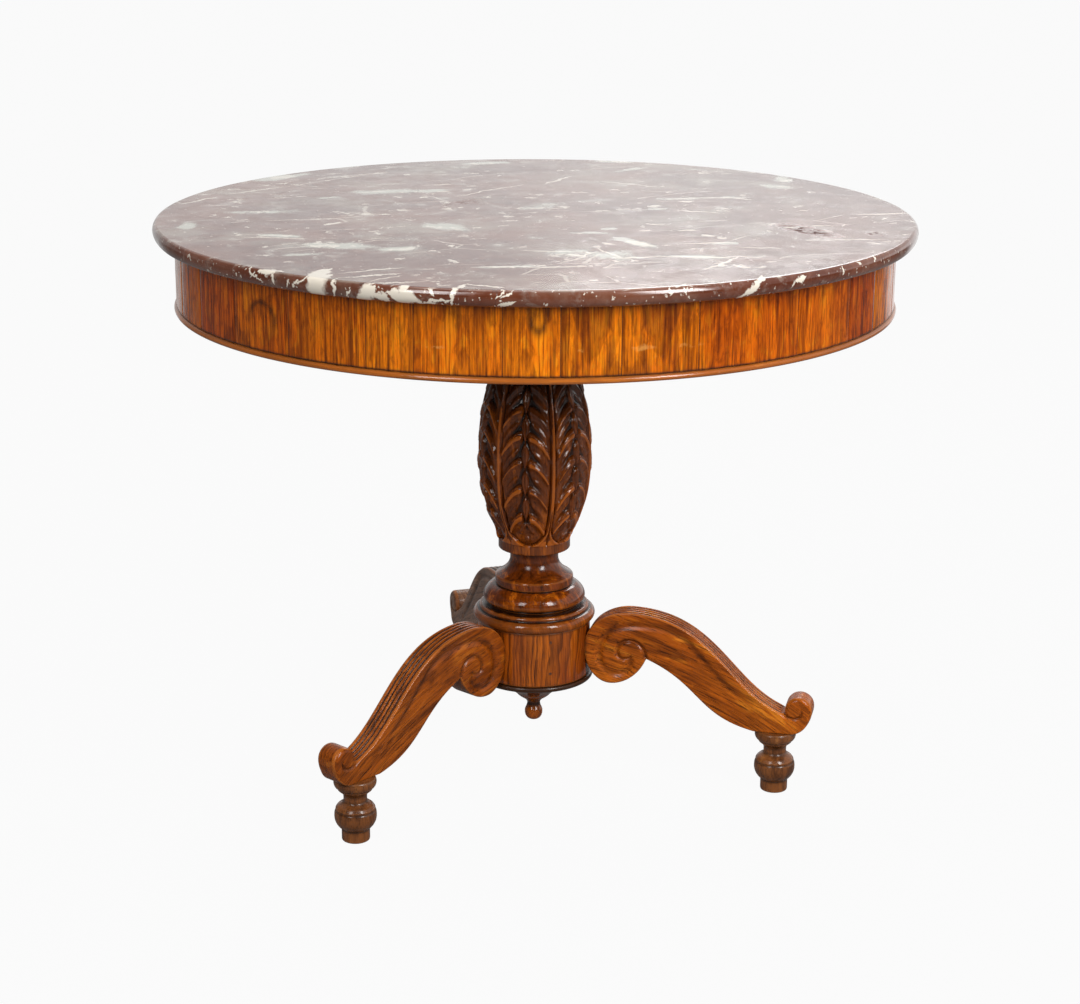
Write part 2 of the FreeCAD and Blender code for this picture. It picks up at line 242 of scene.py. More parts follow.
def calcVector(tree, operation, a, b=(0, 0, 0)):
    node = put(tree, "VectorMath", {0: a, 1: b}, operation=operation)
    return node.outputs["Value" if operation in ("LENGTH", "DOT_PRODUCT") else "Vector"]


def stretch(tree, vector, by):
    return calcVector(tree, "MULTIPLY", vector, by)


def blendTones(tree, share, a, b, how="MIX"):
    # each colour is a socket or a tone as seen on a screen
    a, b = (c if isinstance(c, bpy.types.NodeSocket) else tone(*c) for c in (a, b))
    return put(tree, "Mix", {0: share, 6: a, 7: b}, data_type="RGBA", blend_type=how).outputs[2]


def noise(tree, vector, scale, detail=2.0, rough=0.5, twist=0.0):
    sockets = {"Vector": vector, "Scale": scale, "Detail": detail, "Roughness": rough, "Distortion": twist}
    return put(tree, "TexNoise", sockets).outputs["Fac"]


def sway(tree, vector, reach, *look):
    # noise to both sides of zero
    return times(tree, calc(tree, "SUBTRACT", noise(tree, vector, *look), 0.5), reach)


def between(tree, value, low, high, first=0.0, last=1.0):
    # smooth step of a value from low to high
    sockets = {"Value": value, "From Min": low, "From Max": high, "To Min": first, "To Max": last}
    return put(tree, "MapRange", sockets, interpolation_type="SMOOTHSTEP").outputs[0]


def attribute(tree, name, output="Fac"):
    return put(tree, "Attribute", attribute_name=name).outputs[output]


def newGroup(name, inputs, outputs):
    # an input is given by its kind, or by its start value where it is a number
    tree = bpy.data.node_groups.new(name, "ShaderNodeTree")
    for label, start in inputs.items():
        kind = start if isinstance(start, str) else "Float"
        socket = tree.interface.new_socket(label, in_out="INPUT", socket_type="NodeSocket" + kind)
        if kind == "Float":
            socket.default_value = start
    for label, kind in outputs.items():
        tree.interface.new_socket(label, in_out="OUTPUT", socket_type="NodeSocket" + kind)
    return tree, tree.nodes.new("NodeGroupInput").outputs, tree.nodes.new("NodeGroupOutput")


def useGroup(tree, group, sockets):
    return put(tree, "Group", sockets, node_tree=group).outputs


def newMaterial(name):
    material = bpy.data.materials.new(name)
    material.use_nodes = True
    tree = material.node_tree
    return material, tree, tree.nodes["Principled BSDF"]


# Shared effects: figure of the wood, and old polish with painted shade and wax in the recesses and rubbed
# edges that also carry painted highlights


def makeWoodFigure():
    # growth rings: distance from the pith over ring gap; pores and fibres: noise drawn out along the grain
    tree, given, result = newGroup(
        "woodFigure",
        {"Vector": "Vector", "Pith": "Vector", "Ring Gap": 0.006, "Warp": 0.006, "Drawn": 0.035},
        dict.fromkeys(("Ring", "Pore", "Fibre", "Cloud", "Streak", "Fleck"), "Float"),
    )
    spot = given["Vector"]
    drawn = put(tree, "CombineXYZ", {0: 1.0, 1: 1.0, 2: given["Drawn"]}).outputs[0]
    longer = stretch(tree, drawn, (1, 1, 0.55))
    far = calcVector(tree, "LENGTH", stretch(tree, given["Pith"], (1, 1, 0)))
    far = plus(tree, far, sway(tree, stretch(tree, spot, (1, 1, 0.3)), given["Warp"], 14.0, 3.0, 0.55))
    apart = put(tree, "CombineXYZ", {0: far}).outputs[0]
    phase = calc(tree, "DIVIDE", far, given["Ring Gap"])
    turn = calc(tree, "FRACT", plus(tree, phase, times(tree, noise(tree, apart, 55.0), 3.0)))
    ring = times(tree, between(tree, turn, 0.25, 0.93), between(tree, turn, 1.0, 0.93))
    ring = times(tree, ring, between(tree, noise(tree, apart, 140.0, 1.0), 0.3, 0.65, 0.25, 1.0))
    pore = noise(tree, stretch(tree, spot, drawn), 950.0, 1.0, 0.4)
    pore = between(tree, plus(tree, pore, times(tree, ring, 0.07)), 0.60, 0.70)
    plug(tree, result, {
        "Ring": ring, "Pore": pore,
        "Fibre": noise(tree, stretch(tree, spot, longer), 420.0, 3.0, 0.6),
        "Cloud": noise(tree, stretch(tree, spot, (1, 1, 0.35)), 11.0, 3.0, 0.55),
        "Streak": noise(tree, stretch(tree, spot, drawn), 105.0, 4.0, 0.6),
        "Fleck": noise(tree, stretch(tree, spot, (1, 1, 0.22)), 62.0, 4.0, 0.6, 0.5),
    })
    return tree


def makeOldPolish():
    # painted shade and dark wax gather where Crevice is high, bare wood and painted highlights show where
    # Edge is high, both broken up by noise
    tree, given, result = newGroup(
        "oldPolish",
        {
            "Vector": "Vector", "Colour": "Color", "Crevice": 0.0, "Edge": 0.0, "Wax": "Color",
            "Bare": "Color", "Wax Share": 0.8, "Bare Share": 0.4, "Gloss": 0.3,
        },
        {"Colour": "Color", "Roughness": "Float"},
    )
    rub = noise(tree, given["Vector"], 85.0, 5.0, 0.65)
    smear = noise(tree, given["Vector"], 17.0, 4.0, 0.65)
    wax = times(tree, given["Crevice"], given["Wax Share"])
    wax = times(tree, wax, between(tree, rub, 0.2, 0.5, 0.6, 1.0), True)
    broken = plus(tree, given["Edge"], times(tree, calc(tree, "SUBTRACT", rub, 0.5), 1.2))
    bare = times(tree, between(tree, broken, 0.42, 0.72), given["Bare Share"], True)
    colour = blendTones(tree, wax, given["Colour"], given["Wax"])
    rough = plus(tree, given["Gloss"], between(tree, smear, 0.35, 0.75, -0.03, 0.1))
    plug(tree, result, {
        "Colour": blendTones(tree, bare, colour, given["Bare"]),
        "Roughness": plus(tree, rough, times(tree, wax, 0.18), True),
    })
    return tree


woodFigure = makeWoodFigure()
oldPolish = makeOldPolish()


def makeWood(name, finish, **changes):
    # layers of rings, pores and clouds tint the wood, then old polish covers it with painted shade in
    # recesses and painted highlights on edges
    finish = dict(finish, **changes)
    material, tree, shader = newMaterial(name)
    spot = attribute(tree, "grain", "Vector")
    pith = attribute(tree, "pith", "Vector") if finish["ownPith"] else spot
    figure = useGroup(tree, woodFigure, {
        "Vector": spot, "Pith": pith, "Ring Gap": finish["ringGap"], "Warp": finish["warp"],
        "Drawn": finish["drawn"],
    })
    layers = [
        (between(tree, figure["Fleck"], 0.47, 0.33), "glowShare", "glow"),
        (between(tree, figure["Fleck"], 0.5, 0.68), "fleckShare", "dark"),
    ]
    if finish["mottleShare"] > 0:
        mottle = noise(tree, stretch(tree, spot, (1, 1, 0.4)), 120.0, 4.0, 0.6, 0.6)
        layers += [
            (between(tree, mottle, 0.5, 0.68), "mottleShare", "dark"),
            (between(tree, mottle, 0.46, 0.34), "mottleShare", "glow"),
        ]
    layers += [
        (figure["Ring"], "ringShare", "dark"),
        (between(tree, figure["Streak"], 0.49, 0.68), "streakShare", "dark"),
        (between(tree, figure["Fibre"], 0.42, 0.7), "fibreShare", "dark"),
        (figure["Pore"], "poreShare", "wax"),
    ]
    colour = blendTones(tree, between(tree, figure["Cloud"], 0.3, 0.7), finish["light"], finish["warm"])
    for amount, share, layerTone in layers:
        colour = blendTones(tree, times(tree, amount, finish[share]), colour, finish[layerTone])
    if "leafTone" in finish:
        leafShare = between(tree, attribute(tree, "leafTone"), 0.0, 1.0, 0.0, 0.75)
        colour = blendTones(tree, leafShare, colour, finish["leafTone"], "MULTIPLY")
    polish = useGroup(tree, oldPolish, {
        "Vector": spot, "Colour": colour, "Crevice": attribute(tree, "crevice"),
        "Edge": attribute(tree, "edge"), "Wax": tone(*finish["wax"]), "Bare": tone(*finish["bare"]),
        "Wax Share": finish["waxShare"], "Bare Share": finish["bareShare"], "Gloss": finish["gloss"],
    })
    height = plus(tree, times(tree, figure["Pore"], -0.7), times(tree, figure["Ring"], -0.3))
    bump = put(tree, "Bump", {"Height": height, "Strength": 0.35, "Distance": 0.0002})
    plug(tree, shader, {
        "Base Color": polish["Colour"], "Roughness": polish["Roughness"], "Normal": bump.outputs[0],
        "Specular IOR Level": finish["shine"], "Coat Weight": finish["coat"], "Coat Roughness": 0.07,
    })
    return material


turnedFinish = {
    "light": (140, 63, 9), "warm": (100, 38, 4), "glow": (208, 106, 18), "dark": (38, 14, 2),
    "wax": (16, 6, 2), "bare": (196, 112, 44), "ownPith": False, "ringGap": 0.0062, "warp": 0.045,
    "drawn": 0.035, "ringShare": 0.4, "fibreShare": 0.35, "streakShare": 0.35, "fleckShare": 0.65,
    "glowShare": 0.95, "poreShare": 0.5, "mottleShare": 0.0, "waxShare": 0.95, "bareShare": 0.25,
    "gloss": 0.12, "shine": 0.36, "coat": 0.3,
}
turnedWood = makeWood("turnedWood", turnedFinish)
drumWood = makeWood(
    "drumWood", turnedFinish, light=(192, 98, 19), warm=(154, 67, 11), glow=(210, 112, 25), dark=(54, 21, 4),
    ringShare=0.75, fleckShare=0.35, glowShare=0.5,
)
baseWood = makeWood(
    "baseWood", turnedFinish, light=(58, 34, 18), warm=(40, 22, 10), glow=(66, 40, 20), gloss=0.3,
    bareShare=0.05,
)
footWood = makeWood(
    "footWood", turnedFinish, light=(144, 86, 43), warm=(112, 63, 28), glow=(162, 101, 50),
    dark=(60, 31, 14), bare=(166, 106, 60), ringShare=0.15, streakShare=0.1, fibreShare=0.2, gloss=0.22,
    waxShare=0.6,
)
carvedWood = makeWood(
    "carvedWood", turnedFinish, light=(148, 74, 20), warm=(110, 50, 12), glow=(180, 92, 22),
    dark=(52, 21, 6), wax=(13, 5, 2), bare=(206, 108, 30), bareShare=0.72, gloss=0.1, ringShare=0.2,
    streakShare=0.2, fleckShare=0.4,
)
beadWood = makeWood(
    "beadWood", turnedFinish, light=(176, 92, 20), warm=(144, 66, 9), glow=(206, 118, 32), dark=(66, 27, 6),
    waxShare=0.9, bareShare=0.5,
)
veneerWood = makeWood(
    "veneerWood", turnedFinish, light=(253, 139, 4), warm=(236, 112, 2), glow=(255, 160, 22),
    dark=(90, 34, 2), bare=(234, 166, 84), leafTone=(188, 128, 80), ownPith=True, warp=0.016, drawn=0.03,
    ringShare=0.45, fibreShare=0.75, streakShare=0.62, fleckShare=0.4, glowShare=0.5, mottleShare=0.45,
    poreShare=0.35, bareShare=0.5, gloss=0.16, shine=0.34, coat=0.25,
)
legFinish = dict(
    turnedFinish, light=(222, 118, 27), warm=(186, 90, 15), glow=(236, 136, 34), dark=(66, 28, 7),
    ringGap=0.0052, warp=0.009, ringShare=0.45, fibreShare=0.5, fleckShare=0.4, poreShare=0.7,
    bareShare=0.5, gloss=0.24, shine=0.22, coat=0.1,
)
legWood = makeWood("legWood", legFinish)
darkLegWood = makeWood(
    "darkLegWood", legFinish, light=(182, 92, 20), warm=(144, 66, 10), glow=(200, 108, 26), fleckShare=0.6,
    ringShare=0.35,
)
# painted reflection: a paler, greyer copy of the leg wood for the back leg, standing in for the sheen its
# top catches from the white backdrop
fadedWood = makeWood(
    "fadedWood", legFinish, light=(172, 128, 100), warm=(144, 104, 80), glow=(180, 134, 104),
    dark=(84, 54, 38), gloss=0.3,
)
print("woods ready")

# Marble slab

slabShape = {
    "radius": 485.0, "low": 739.0, "high": 759.0, "edgeRise": 8.0, "edgeRun": 6.0, "underRun": 9.0,
    "gap": 0.7, "rounds": 480, "underRings": 8, "topRings": 110, "slant": 0.9,
    # pale patches in plan: x, y, half length, half width, turn in degrees, amount
    "pale": [
        (-343, -58, 32, 12, -32, 0.8), (-298, -139, 60, 20, -24, 0.8), (-222, -182, 32, 16, 9, 0.7),
        (-343, -187, 28, 10, -5, 0.6), (-332, 115, 56, 16, -7, 0.7), (-229, 201, 26, 12, 6, 0.6),
        (-126, 228, 74, 20, -8, 0.75), (-133, -61, 48, 28, -58, 0.65), (-129, -322, 40, 9, -10, 0.7),
        (-12, -282, 84, 36, -46, 0.55), (-47, -153, 24, 12, -62, 0.6), (20, -140, 24, 10, -15, 0.6),
        (58, -215, 50, 14, -75, 0.9), (58, -119, 16, 9, 0, 0.8), (95, -321, 38, 10, -26, 0.8),
        (160, -250, 22, 11, -15, 0.8), (167, 2, 20, 10, 0, 0.7), (259, 65, 66, 14, -8, 0.55),
        (230, 322, 58, 12, 27, 0.6), (324, 308, 34, 12, -7, 0.6), (387, 128, 36, 16, -47, 0.6),
        (420, 190, 40, 16, 70, 0.8), (-250, 390, 44, 16, 30, 0.9), (-440, 40, 30, 12, 80, 0.7),
        (60, 440, 36, 14, 0, 1.0), (250, 402, 30, 13, -30, 1.0), (30, 60, 60, 22, 25, 0.5),
    ],
    # veins in plan: x, y, half length, half width, turn in degrees
    "veins": [
        (-4, 204, 74, 3.2, 33), (-304, 286, 56, 2.8, 27), (-396, 224, 38, 3.2, 40),
        (-286, -299, 42, 3.4, 7), (-281, -348, 26, 2.6, 21), (104, -325, 72, 4.4, -20),
        (143, -244, 36, 4.0, -6), (189, -289, 30, 3.4, -25), (311, -269, 50, 2.8, -13),
        (-133, -321, 44, 3.8, -16), (-83, -335, 42, 3.4, -13), (112, -368, 52, 3.2, 37),
        (259, 65, 60, 3.6, -8), (298, 53, 26, 4.0, -52), (209, -32, 32, 3.6, -38),
        (112, 264, 42, 3.6, 45), (433, -112, 44, 4.4, -10), (-150, 380, 60, 3.0, 15),
        (200, 200, 50, 3.0, -50), (22, -307, 30, 4.2, -9), (-60, -242, 32, 3.2, -24),
        (-34, -290, 48, 2.6, 43), (9, -284, 54, 2.6, -76), (-294, 45, 50, 2.8, -7),
        (-352, -68, 46, 3.2, -23),
    ],
    # marks round the edge: degrees round from the front to the right, height (running on over the top), half
    # length, half width, turn in degrees
    "marks": [
        (-58.4, 752.5, 18, 1.7, -27), (-58.6, 752, 6, 1.5, 50), (-55.6, 760, 18, 6.5, 17),
        (-54.6, 752, 8, 2.4, -70), (-51.9, 748.5, 6, 2.4, 60), (-50.1, 753.5, 14, 1.5, 42),
        (-47.3, 751, 31, 15.0, 86), (-48.8, 778, 34, 14.0, 105), (-44.6, 751, 17, 3.2, 92),
        (-41.6, 795, 42, 2.8, 44), (-42.1, 746.5, 7, 1.6, 60), (-39.7, 748, 15, 11.0, 35),
        (-36.6, 771, 30, 2.2, 31), (-37.4, 746, 10, 6.0, -20), (-34.2, 746.5, 23, 9.5, -12),
        (-34.4, 752, 12, 7.5, 80), (-30.6, 754, 6, 2.8, -40), (-29.9, 744.5, 22, 2.6, 10),
        (-27.2, 764, 26, 4.8, 75), (-23.8, 778, 27, 3.0, -15), (-21.6, 755, 7, 1.6, 45),
        (-20.7, 756, 9, 1.6, 35), (-20.6, 743.5, 11, 4.4, 15), (1.1, 754, 5, 1.5, 80),
        (3.0, 754, 5, 1.5, -60), (12.9, 748, 24, 5.4, 33), (15.4, 764, 12, 3.0, 50),
        (21.3, 752, 10, 2.8, 20), (20.1, 748, 5, 1.8, 70), (30, 753, 5, 1.6, 50), (34, 755, 5, 1.7, -30),
        (38.5, 757, 6, 1.8, 60), (75, 747, 9, 6.0, 80), (102, 748, 14, 5.5, 30), (151, 752, 20, 8.0, 75),
        (-166, 750, 24, 2.2, 40), (-131, 747, 15, 4.5, 20), (-99, 752, 14, 3.0, 35),
    ],
    # stains in plan, as the patches
    "stains": [(290, -198, 44, 16, -73, 1.4), (365, -242, 9, 8, 0, 2.5), (-60, 120, 30, 14, 20, 0.5)],
}


def patchField(x, y, patches):
    # sum of soft ellipses: exp(-(u^2 + v^2)) with u, v measured along and across each patch
    field = np.zeros_like(x)
    for px, py, long, wide, turn, amount in patches:
        c, s = math.cos(math.radians(turn)), math.sin(math.radians(turn))
        u = ((x - px) * c + (y - py) * s) / long
        v = (-(x - px) * s + (y - py) * c) / wide
        field += amount * np.exp(-(u * u + v * v))
    return field


def makeVein():
    # one vein in plan: a narrow lens along its own line, wandering to both sides
    tree, given, result = newGroup("marbleVein", {
        "Vector": "Vector", "Wander": 0.0, "Place": "Vector", "Turn": 0.0, "Long": 0.05, "Wide": 0.003,
    }, {"Vein": "Float"})
    off = calcVector(tree, "SUBTRACT", given["Vector"], given["Place"])
    laid = put(tree, "VectorRotate", {"Vector": off, "Angle": given["Turn"]}, rotation_type="Z_AXIS")
    flat = put(tree, "SeparateXYZ", {0: laid.outputs[0]}).outputs
    along = calc(tree, "DIVIDE", flat["X"], given["Long"])
    lens = calc(tree, "SUBTRACT", 1.0, times(tree, along, along), True)
    aside = calc(tree, "ABSOLUTE", plus(tree, flat["Y"], given["Wander"]))
    half = plus(tree, times(tree, given["Wide"], lens), 1e-6)
    plug(tree, result, {"Vein": between(tree, calc(tree, "DIVIDE", aside, half), 1.0, 0.55)})
    return tree


def makeMarble(shape):
    # red-brown ground on bent coordinates; clouds, blots and flecks where a noise is high; veins one by one
    material, tree, shader = newMaterial("redMarble")
    spot = put(tree, "TexCoord").outputs["Object"]
    pale, stain, worn = (attribute(tree, key) for key in ("pale", "stain", "worn"))
    vein = makeVein()

    def byWear(edge, top):
        # painted sheen: the top is painted paler and the edge keeps a deeper red, as the sheen of the
        # polished top would show
        return between(tree, worn, 0.0, 1.0, edge, top)

    def drawVein(vector, wander, x, y, long, wide, turn):
        return useGroup(tree, vein, {
            "Vector": vector, "Wander": wander, "Place": (x * mm, y * mm, 0), "Turn": -math.radians(turn),
            "Long": long * mm, "Wide": wide * mm,
        })["Vein"]

    waves = put(tree, "TexNoise", {"Vector": spot, "Scale": 10.0, "Detail": 3.0}).outputs["Color"]
    waves = calcVector(tree, "ADD", waves, (-0.5, -0.5, -0.5))
    bent, eased = (calcVector(tree, "ADD", stretch(tree, waves, (by, by, by)), spot) for by in (0.06, 0.03))
    # ground, haze and pale patches; paler on the top and darker on the edge as painted sheen
    broad = between(tree, noise(tree, bent, 6.0, 6.0, 0.58), 0.36, 0.66)
    colour = blendTones(tree, broad, (94, 42, 20), (122, 69, 46))
    grit = noise(tree, bent, 55.0, 6.0, 0.7)
    colour = blendTones(tree, between(tree, grit, 0.45, 0.75, 0.0, 0.45), colour, (150, 102, 84))
    haze = between(tree, noise(tree, bent, 8.0, 8.0, 0.66), 0.48, 0.68, 0.0, 0.45)
    colour = blendTones(tree, times(tree, haze, byWear(0.3, 1.0)), colour, (172, 165, 148))
    wisp = noise(tree, stretch(tree, bent, (1.0, 1.3, 1.0)), 24.0, 7.0, 0.66)
    wisp = times(tree, between(tree, wisp, 0.55, 0.67, 0.0, 0.5), byWear(0.4, 1.0))
    colour = blendTones(tree, wisp, colour, (196, 190, 178))
    colour = blendTones(tree, byWear(0.12, 0.0), colour, (58, 20, 10))
    bloom = plus(tree, sway(tree, bent, 1.5, 20.0, 8.0, 0.7), times(tree, pale, 0.82))
    bloom = times(tree, between(tree, bloom, 0.2, 0.5, 0.0, 0.84), byWear(0.5, 1.0))
    colour = blendTones(tree, bloom, colour, (196, 197, 184))
    # fine dark cracks where a noise passes its middle
    crack = calc(tree, "ABSOLUTE", sway(tree, spot, 1.0, 8.5, 5.0, 0.55, 0.5))
    crack = between(tree, crack, 0.004, 0.0)
    colour = blendTones(tree, times(tree, crack, 0.6), colour, (50, 22, 18))
    # cream blots in the patches; flecks, and broken veins along long bent cells, in some places only
    blot = plus(tree, sway(tree, bent, 1.8, 45.0, 7.0, 0.68), times(tree, pale, 0.7))
    here = noise(tree, spot, 11.0)
    fleck = noise(tree, stretch(tree, bent, (1.0, 1.25, 1.0)), 34.0, 6.0, 0.62)
    fleck = times(tree, between(tree, fleck, 0.6, 0.64), between(tree, here, 0.4, 0.6, 0.15, 0.85))
    laid = put(tree, "Mapping", {"Vector": eased, "Rotation": (0, 0, 0.25), "Scale": (0.7, 1.7, 1.0)})
    cells = {"Vector": laid.outputs[0], "Scale": 8.0}
    cells = put(tree, "TexVoronoi", cells, feature="DISTANCE_TO_EDGE").outputs["Distance"]
    line = times(tree, between(tree, cells, 0.016, 0.005), between(tree, here, 0.53, 0.61, 0.0, 0.45))
    speck = plus(tree, noise(tree, spot, 190.0), byWear(0.04, 0.0))
    creams = [
        times(tree, between(tree, blot, 0.5, 0.57), byWear(1.0, 0.75)), times(tree, fleck, byWear(0.2, 1.0)),
        times(tree, line, worn), between(tree, speck, 0.69, 0.75, 0.0, 0.85),
    ]
    wander = sway(tree, spot, 0.026, 28.0, 5.0, 0.62)
    veinWear = byWear(0.3, 0.8)
    for place in shape["veins"]:
        creams.append(times(tree, drawVein(spot, wander, *place), veinWear))
    # place on the edge: way round, and height that runs on over the top towards the middle
    flat = put(tree, "SeparateXYZ", {0: spot}).outputs
    turn = calc(tree, "ARCTAN2", flat["X"], times(tree, flat["Y"], -1.0))
    reach = calcVector(tree, "LENGTH", stretch(tree, spot, (1, 1, 0)))
    over = calc(tree, "SUBTRACT", (shape["radius"] - shape["edgeRun"]) * mm, reach)
    rise = plus(tree, flat["Z"], calc(tree, "MAXIMUM", over, 0.0))
    edgeSpot = put(tree, "CombineXYZ", {0: times(tree, turn, shape["radius"] * mm), 1: rise}).outputs[0]
    wander = sway(tree, spot, 0.02, 75.0, 5.0, 0.62)
    for turn, *place in shape["marks"]:
        creams.append(drawVein(edgeSpot, wander, math.radians(turn) * shape["radius"], *place))
    cream = creams[0]
    for other in creams[1:]:
        cream = calc(tree, "MAXIMUM", cream, other)
    colour = blendTones(tree, cream, colour, (232, 222, 206))
    # stains are dark and dull
    patchy = between(tree, noise(tree, spot, 90.0, 4.0, 0.6), 0.46, 0.54)
    stainShare = times(tree, times(tree, stain, patchy), 0.85, True)
    rough = between(tree, noise(tree, spot, 30.0, 5.0, 0.65), 0.3, 0.7, 0.13, 0.25)
    pits = plus(tree, times(tree, crack, -1.0), times(tree, grit, 0.12))
    bump = put(tree, "Bump", {"Height": pits, "Strength": 0.3, "Distance": 0.0003})
    plug(tree, shader, {
        "Base Color": blendTones(tree, stainShare, colour, (70, 30, 24)),
        "Roughness": plus(tree, rough, times(tree, stainShare, 0.7), True), "Normal": bump.outputs[0],
        "Coat Weight": between(tree, stainShare, 0.0, 1.0, 0.5, 0.0), "Coat Roughness": 0.12, "IOR": 1.55,
    })
    return material


def makeSlab(shape):
    # profile (r, z) of the slab turned round, with the edge radius wandering by a few tenths of a millimetre
    low, high, radius, gap = (shape[key] for key in ("low", "high", "radius", "gap"))
    side = high - shape["edgeRise"]
    foot, brow = radius - shape["underRun"], radius - shape["edgeRun"]
    rim = softened(linePoints((foot, low), [
        (radius - shape["underRun"] * 0.45, low, radius, side - 7, radius, side),
        (radius, side + shape["edgeRise"] * 0.55, radius - shape["edgeRun"] * 0.45, high, brow, high),
    ], gap), 2)
    under = [(r, low) for r in np.linspace(0, foot - gap, shape["underRings"])]
    over = [(r, high) for r in np.linspace(brow - gap, 0, shape["topRings"])]
    line = np.concatenate([under, rim, over])
    angle = anglesRound(shape["rounds"])
    wander = 0.35 * np.sin(3 * angle + 1) + 0.25 * np.sin(7 * angle) + 0.15 * np.sin(17 * angle + 2)
    reach = line[:, 0] - np.abs(wander) * smoothStep(radius - 40, radius, line[:, 0])
    points = turnedPoints(reach, angle, line[:, 1])
    lean = angle + shape["slant"] * (high - line[:, 1]) / radius    # patches run slanting down the edge
    # worn: 1 on the top, 0 down the edge; the marble paints the top paler and the edge deeper there as
    # painted sheen, and some patterns differ between top and edge
    grid = sheet(
        points, True, pale=patchField(reach * np.cos(lean), reach * np.sin(lean), shape["pale"]),
        stain=patchField(points[..., 0], points[..., 1], shape["stains"]),
        worn=smoothStep(high - 2.5, high - 0.1, line[:, 1]),
    )
    makePiece("marbleSlab", [grid], makeMarble(shape), "slab", ["marble_top"], merge=0.02)


makeSlab(slabShape)

# Apron: upright veneer leaves and the bead below them

apronShape = {
    "radius": 458.5, "inner": 456.9, "low": 656.0, "high": 739.0, "seed": 11, "leafTurn": (8, 16),
    "leafSteps": 15, "jointHalf": 1.0, "jointDepth": 0.4, "rows": 40, "bevel": (0.3, 0.5),
    # leaves that show: joints in degrees round from the front to the right, and how dark each leaf is
    "frontJoints": [-78.0, -67.0, -55.0, -41.5, -34.2, -21.5, -13.4, -4.8, 6.7, 24.3, 37.0],
    "frontTones": [0.9, 0.55, 0.44, 0.0, 0.28, 0.0, 0.18, 0.38, 0.5, 0.37, 0.92],
    # pale scuffs: degrees round, height, half length, half height
    "scuffs": [
        (-1.6, 687, 32, 6), (5.6, 686, 26, 5), (-10.4, 686, 8, 6), (-31.3, 687, 26, 4), (0.5, 677, 14, 5),
        (9.0, 700, 8, 8), (118, 680, 22, 6), (205, 700, 18, 5),
    ],
    # dark arches above knots, or below them where the half height is negative: degrees round, height,
    # half width, half height
    "knots": [(-60.5, 686, 24, 28), (-16.5, 748, 12, -40), (96, 680, 22, 30), (170, 690, 20, 26)],
}


def wayFrom(angle, turn):
    # angle from a place given in degrees round from the front, between minus and plus a half turn
    return (angle - math.radians(turn - 90) + math.pi) % tau - math.pi


def makeApron(shape):
    # closed strip: the outer face is radius(angle, z), with a fine sunk line at each joint between leaves
    face, low, high, rows = (shape[key] for key in ("radius", "low", "high", "rows"))
    chance = np.random.default_rng(shape["seed"])
    narrow, broad = shape["leafTurn"]
    joints = list(shape["frontJoints"])
    while joints[-1] < 360 + joints[0] - broad:
        joints.append(joints[-1] + chance.uniform(narrow, broad))
    starts = np.radians(np.array(joints) - 90)
    ends = np.append(starts[1:], starts[0] + tau)
    gap = shape["jointHalf"] / face
    share = np.linspace(0, 1, shape["leafSteps"])
    inside = (starts + gap)[:, None] + (ends - starts - 2 * gap)[:, None] * share
    angle = np.hstack([starts[:, None], inside])
    middle = ((starts + ends) / 2)[:, None]
    # neighbouring leaves mirror each other
    leaves = len(starts)
    number = np.arange(leaves)
    mirror = np.where(number % 2, -1.0, 1.0)[:, None]
    pairPith, pairDeep, pairLift = (
        chance.uniform(least, most, leaves)[number // 2] for least, most in ((-45, 45), (25, 110), (0, 3000))
    )
    leafTone = chance.uniform(0, 0.65, leaves)
    leafTone[:len(shape["frontTones"])] = shape["frontTones"]
    pairLean = chance.uniform(-0.1, 0.1, leaves)[number // 2]
    across = ((angle - middle) * face * mirror - pairPith[:, None]).reshape(-1, 1)
    deep, lift, lean, leafTone = (
        np.repeat(value, shape["leafSteps"] + 1)[:, None]
        for value in (pairDeep, pairLift, pairLean, leafTone)
    )
    sunk = np.zeros_like(angle)
    sunk[:, 0] = 1
    angle, sunk = angle.reshape(-1, 1), sunk.reshape(-1, 1)
    bevelIn, bevelUp = shape["bevel"]
    height = np.concatenate([[low] * 2, np.linspace(low + bevelUp, high - bevelUp, rows), [high] * 2])
    outer = np.concatenate([[0, 1], np.ones(rows), [1, 0]])
    radius = np.where(outer > 0, face, shape["inner"])
    radius = radius - np.concatenate([[0, bevelIn], np.zeros(rows), [bevelIn, 0]])
    ripple = 0.12 * np.sin(angle * 23 + height * 0.05) + 0.08 * np.sin(angle * 61 - height * 0.09)
    radius = radius - outer * (sunk * shape["jointDepth"] + np.abs(ripple))
    rise = height - low
    grain = np.stack(np.broadcast_arrays(across, deep + 0.03 * rise, height + lift), -1)
    pith = np.stack(np.broadcast_arrays(across, deep + lean * rise, 0), -1)    # rings cut aslant
    # painted shadow in a band under the slab; darker also towards the foot and along the joints
    crevice = sunk * 0.9 + smoothStep(low + 3.5, low, height) + smoothStep(high - 8, high, height) * 0.6
    crevice = np.clip(crevice, 0, 1)
    edge = 0 * crevice
    for turn, middle, long, tall in shape["scuffs"]:
        along = wayFrom(angle, turn) * face
        edge = np.maximum(edge, 0.6 * np.exp(-(along / long)**2 - ((height - middle) / tall)**2))
    for turn, middle, wide, tall in shape["knots"]:
        ring = np.hypot(wayFrom(angle, turn) * face / wide, (height - middle) / tall)
        arch = np.exp(-((ring - 1) / 0.15)**2) * smoothStep(-6, 14, (height - middle) * np.sign(tall))
        crevice = np.maximum(crevice, 0.8 * arch)
    points = turnedPoints(radius, angle, height)
    grid = sheet(points, True, True, grain=grain, pith=pith, crevice=crevice, edge=edge, leafTone=leafTone)
    makePiece("apronVeneer", [grid], veneerWood, "stand", ["apron_veneer"], sharpAngle=40)


makeApron(apronShape)

beadShape = {
    "inner": 442.5, "face": 458.1, "proud": 461.3, "low": 648.0, "high": 656.0, "rounds": 480,
    "pith": (420, 640),
}


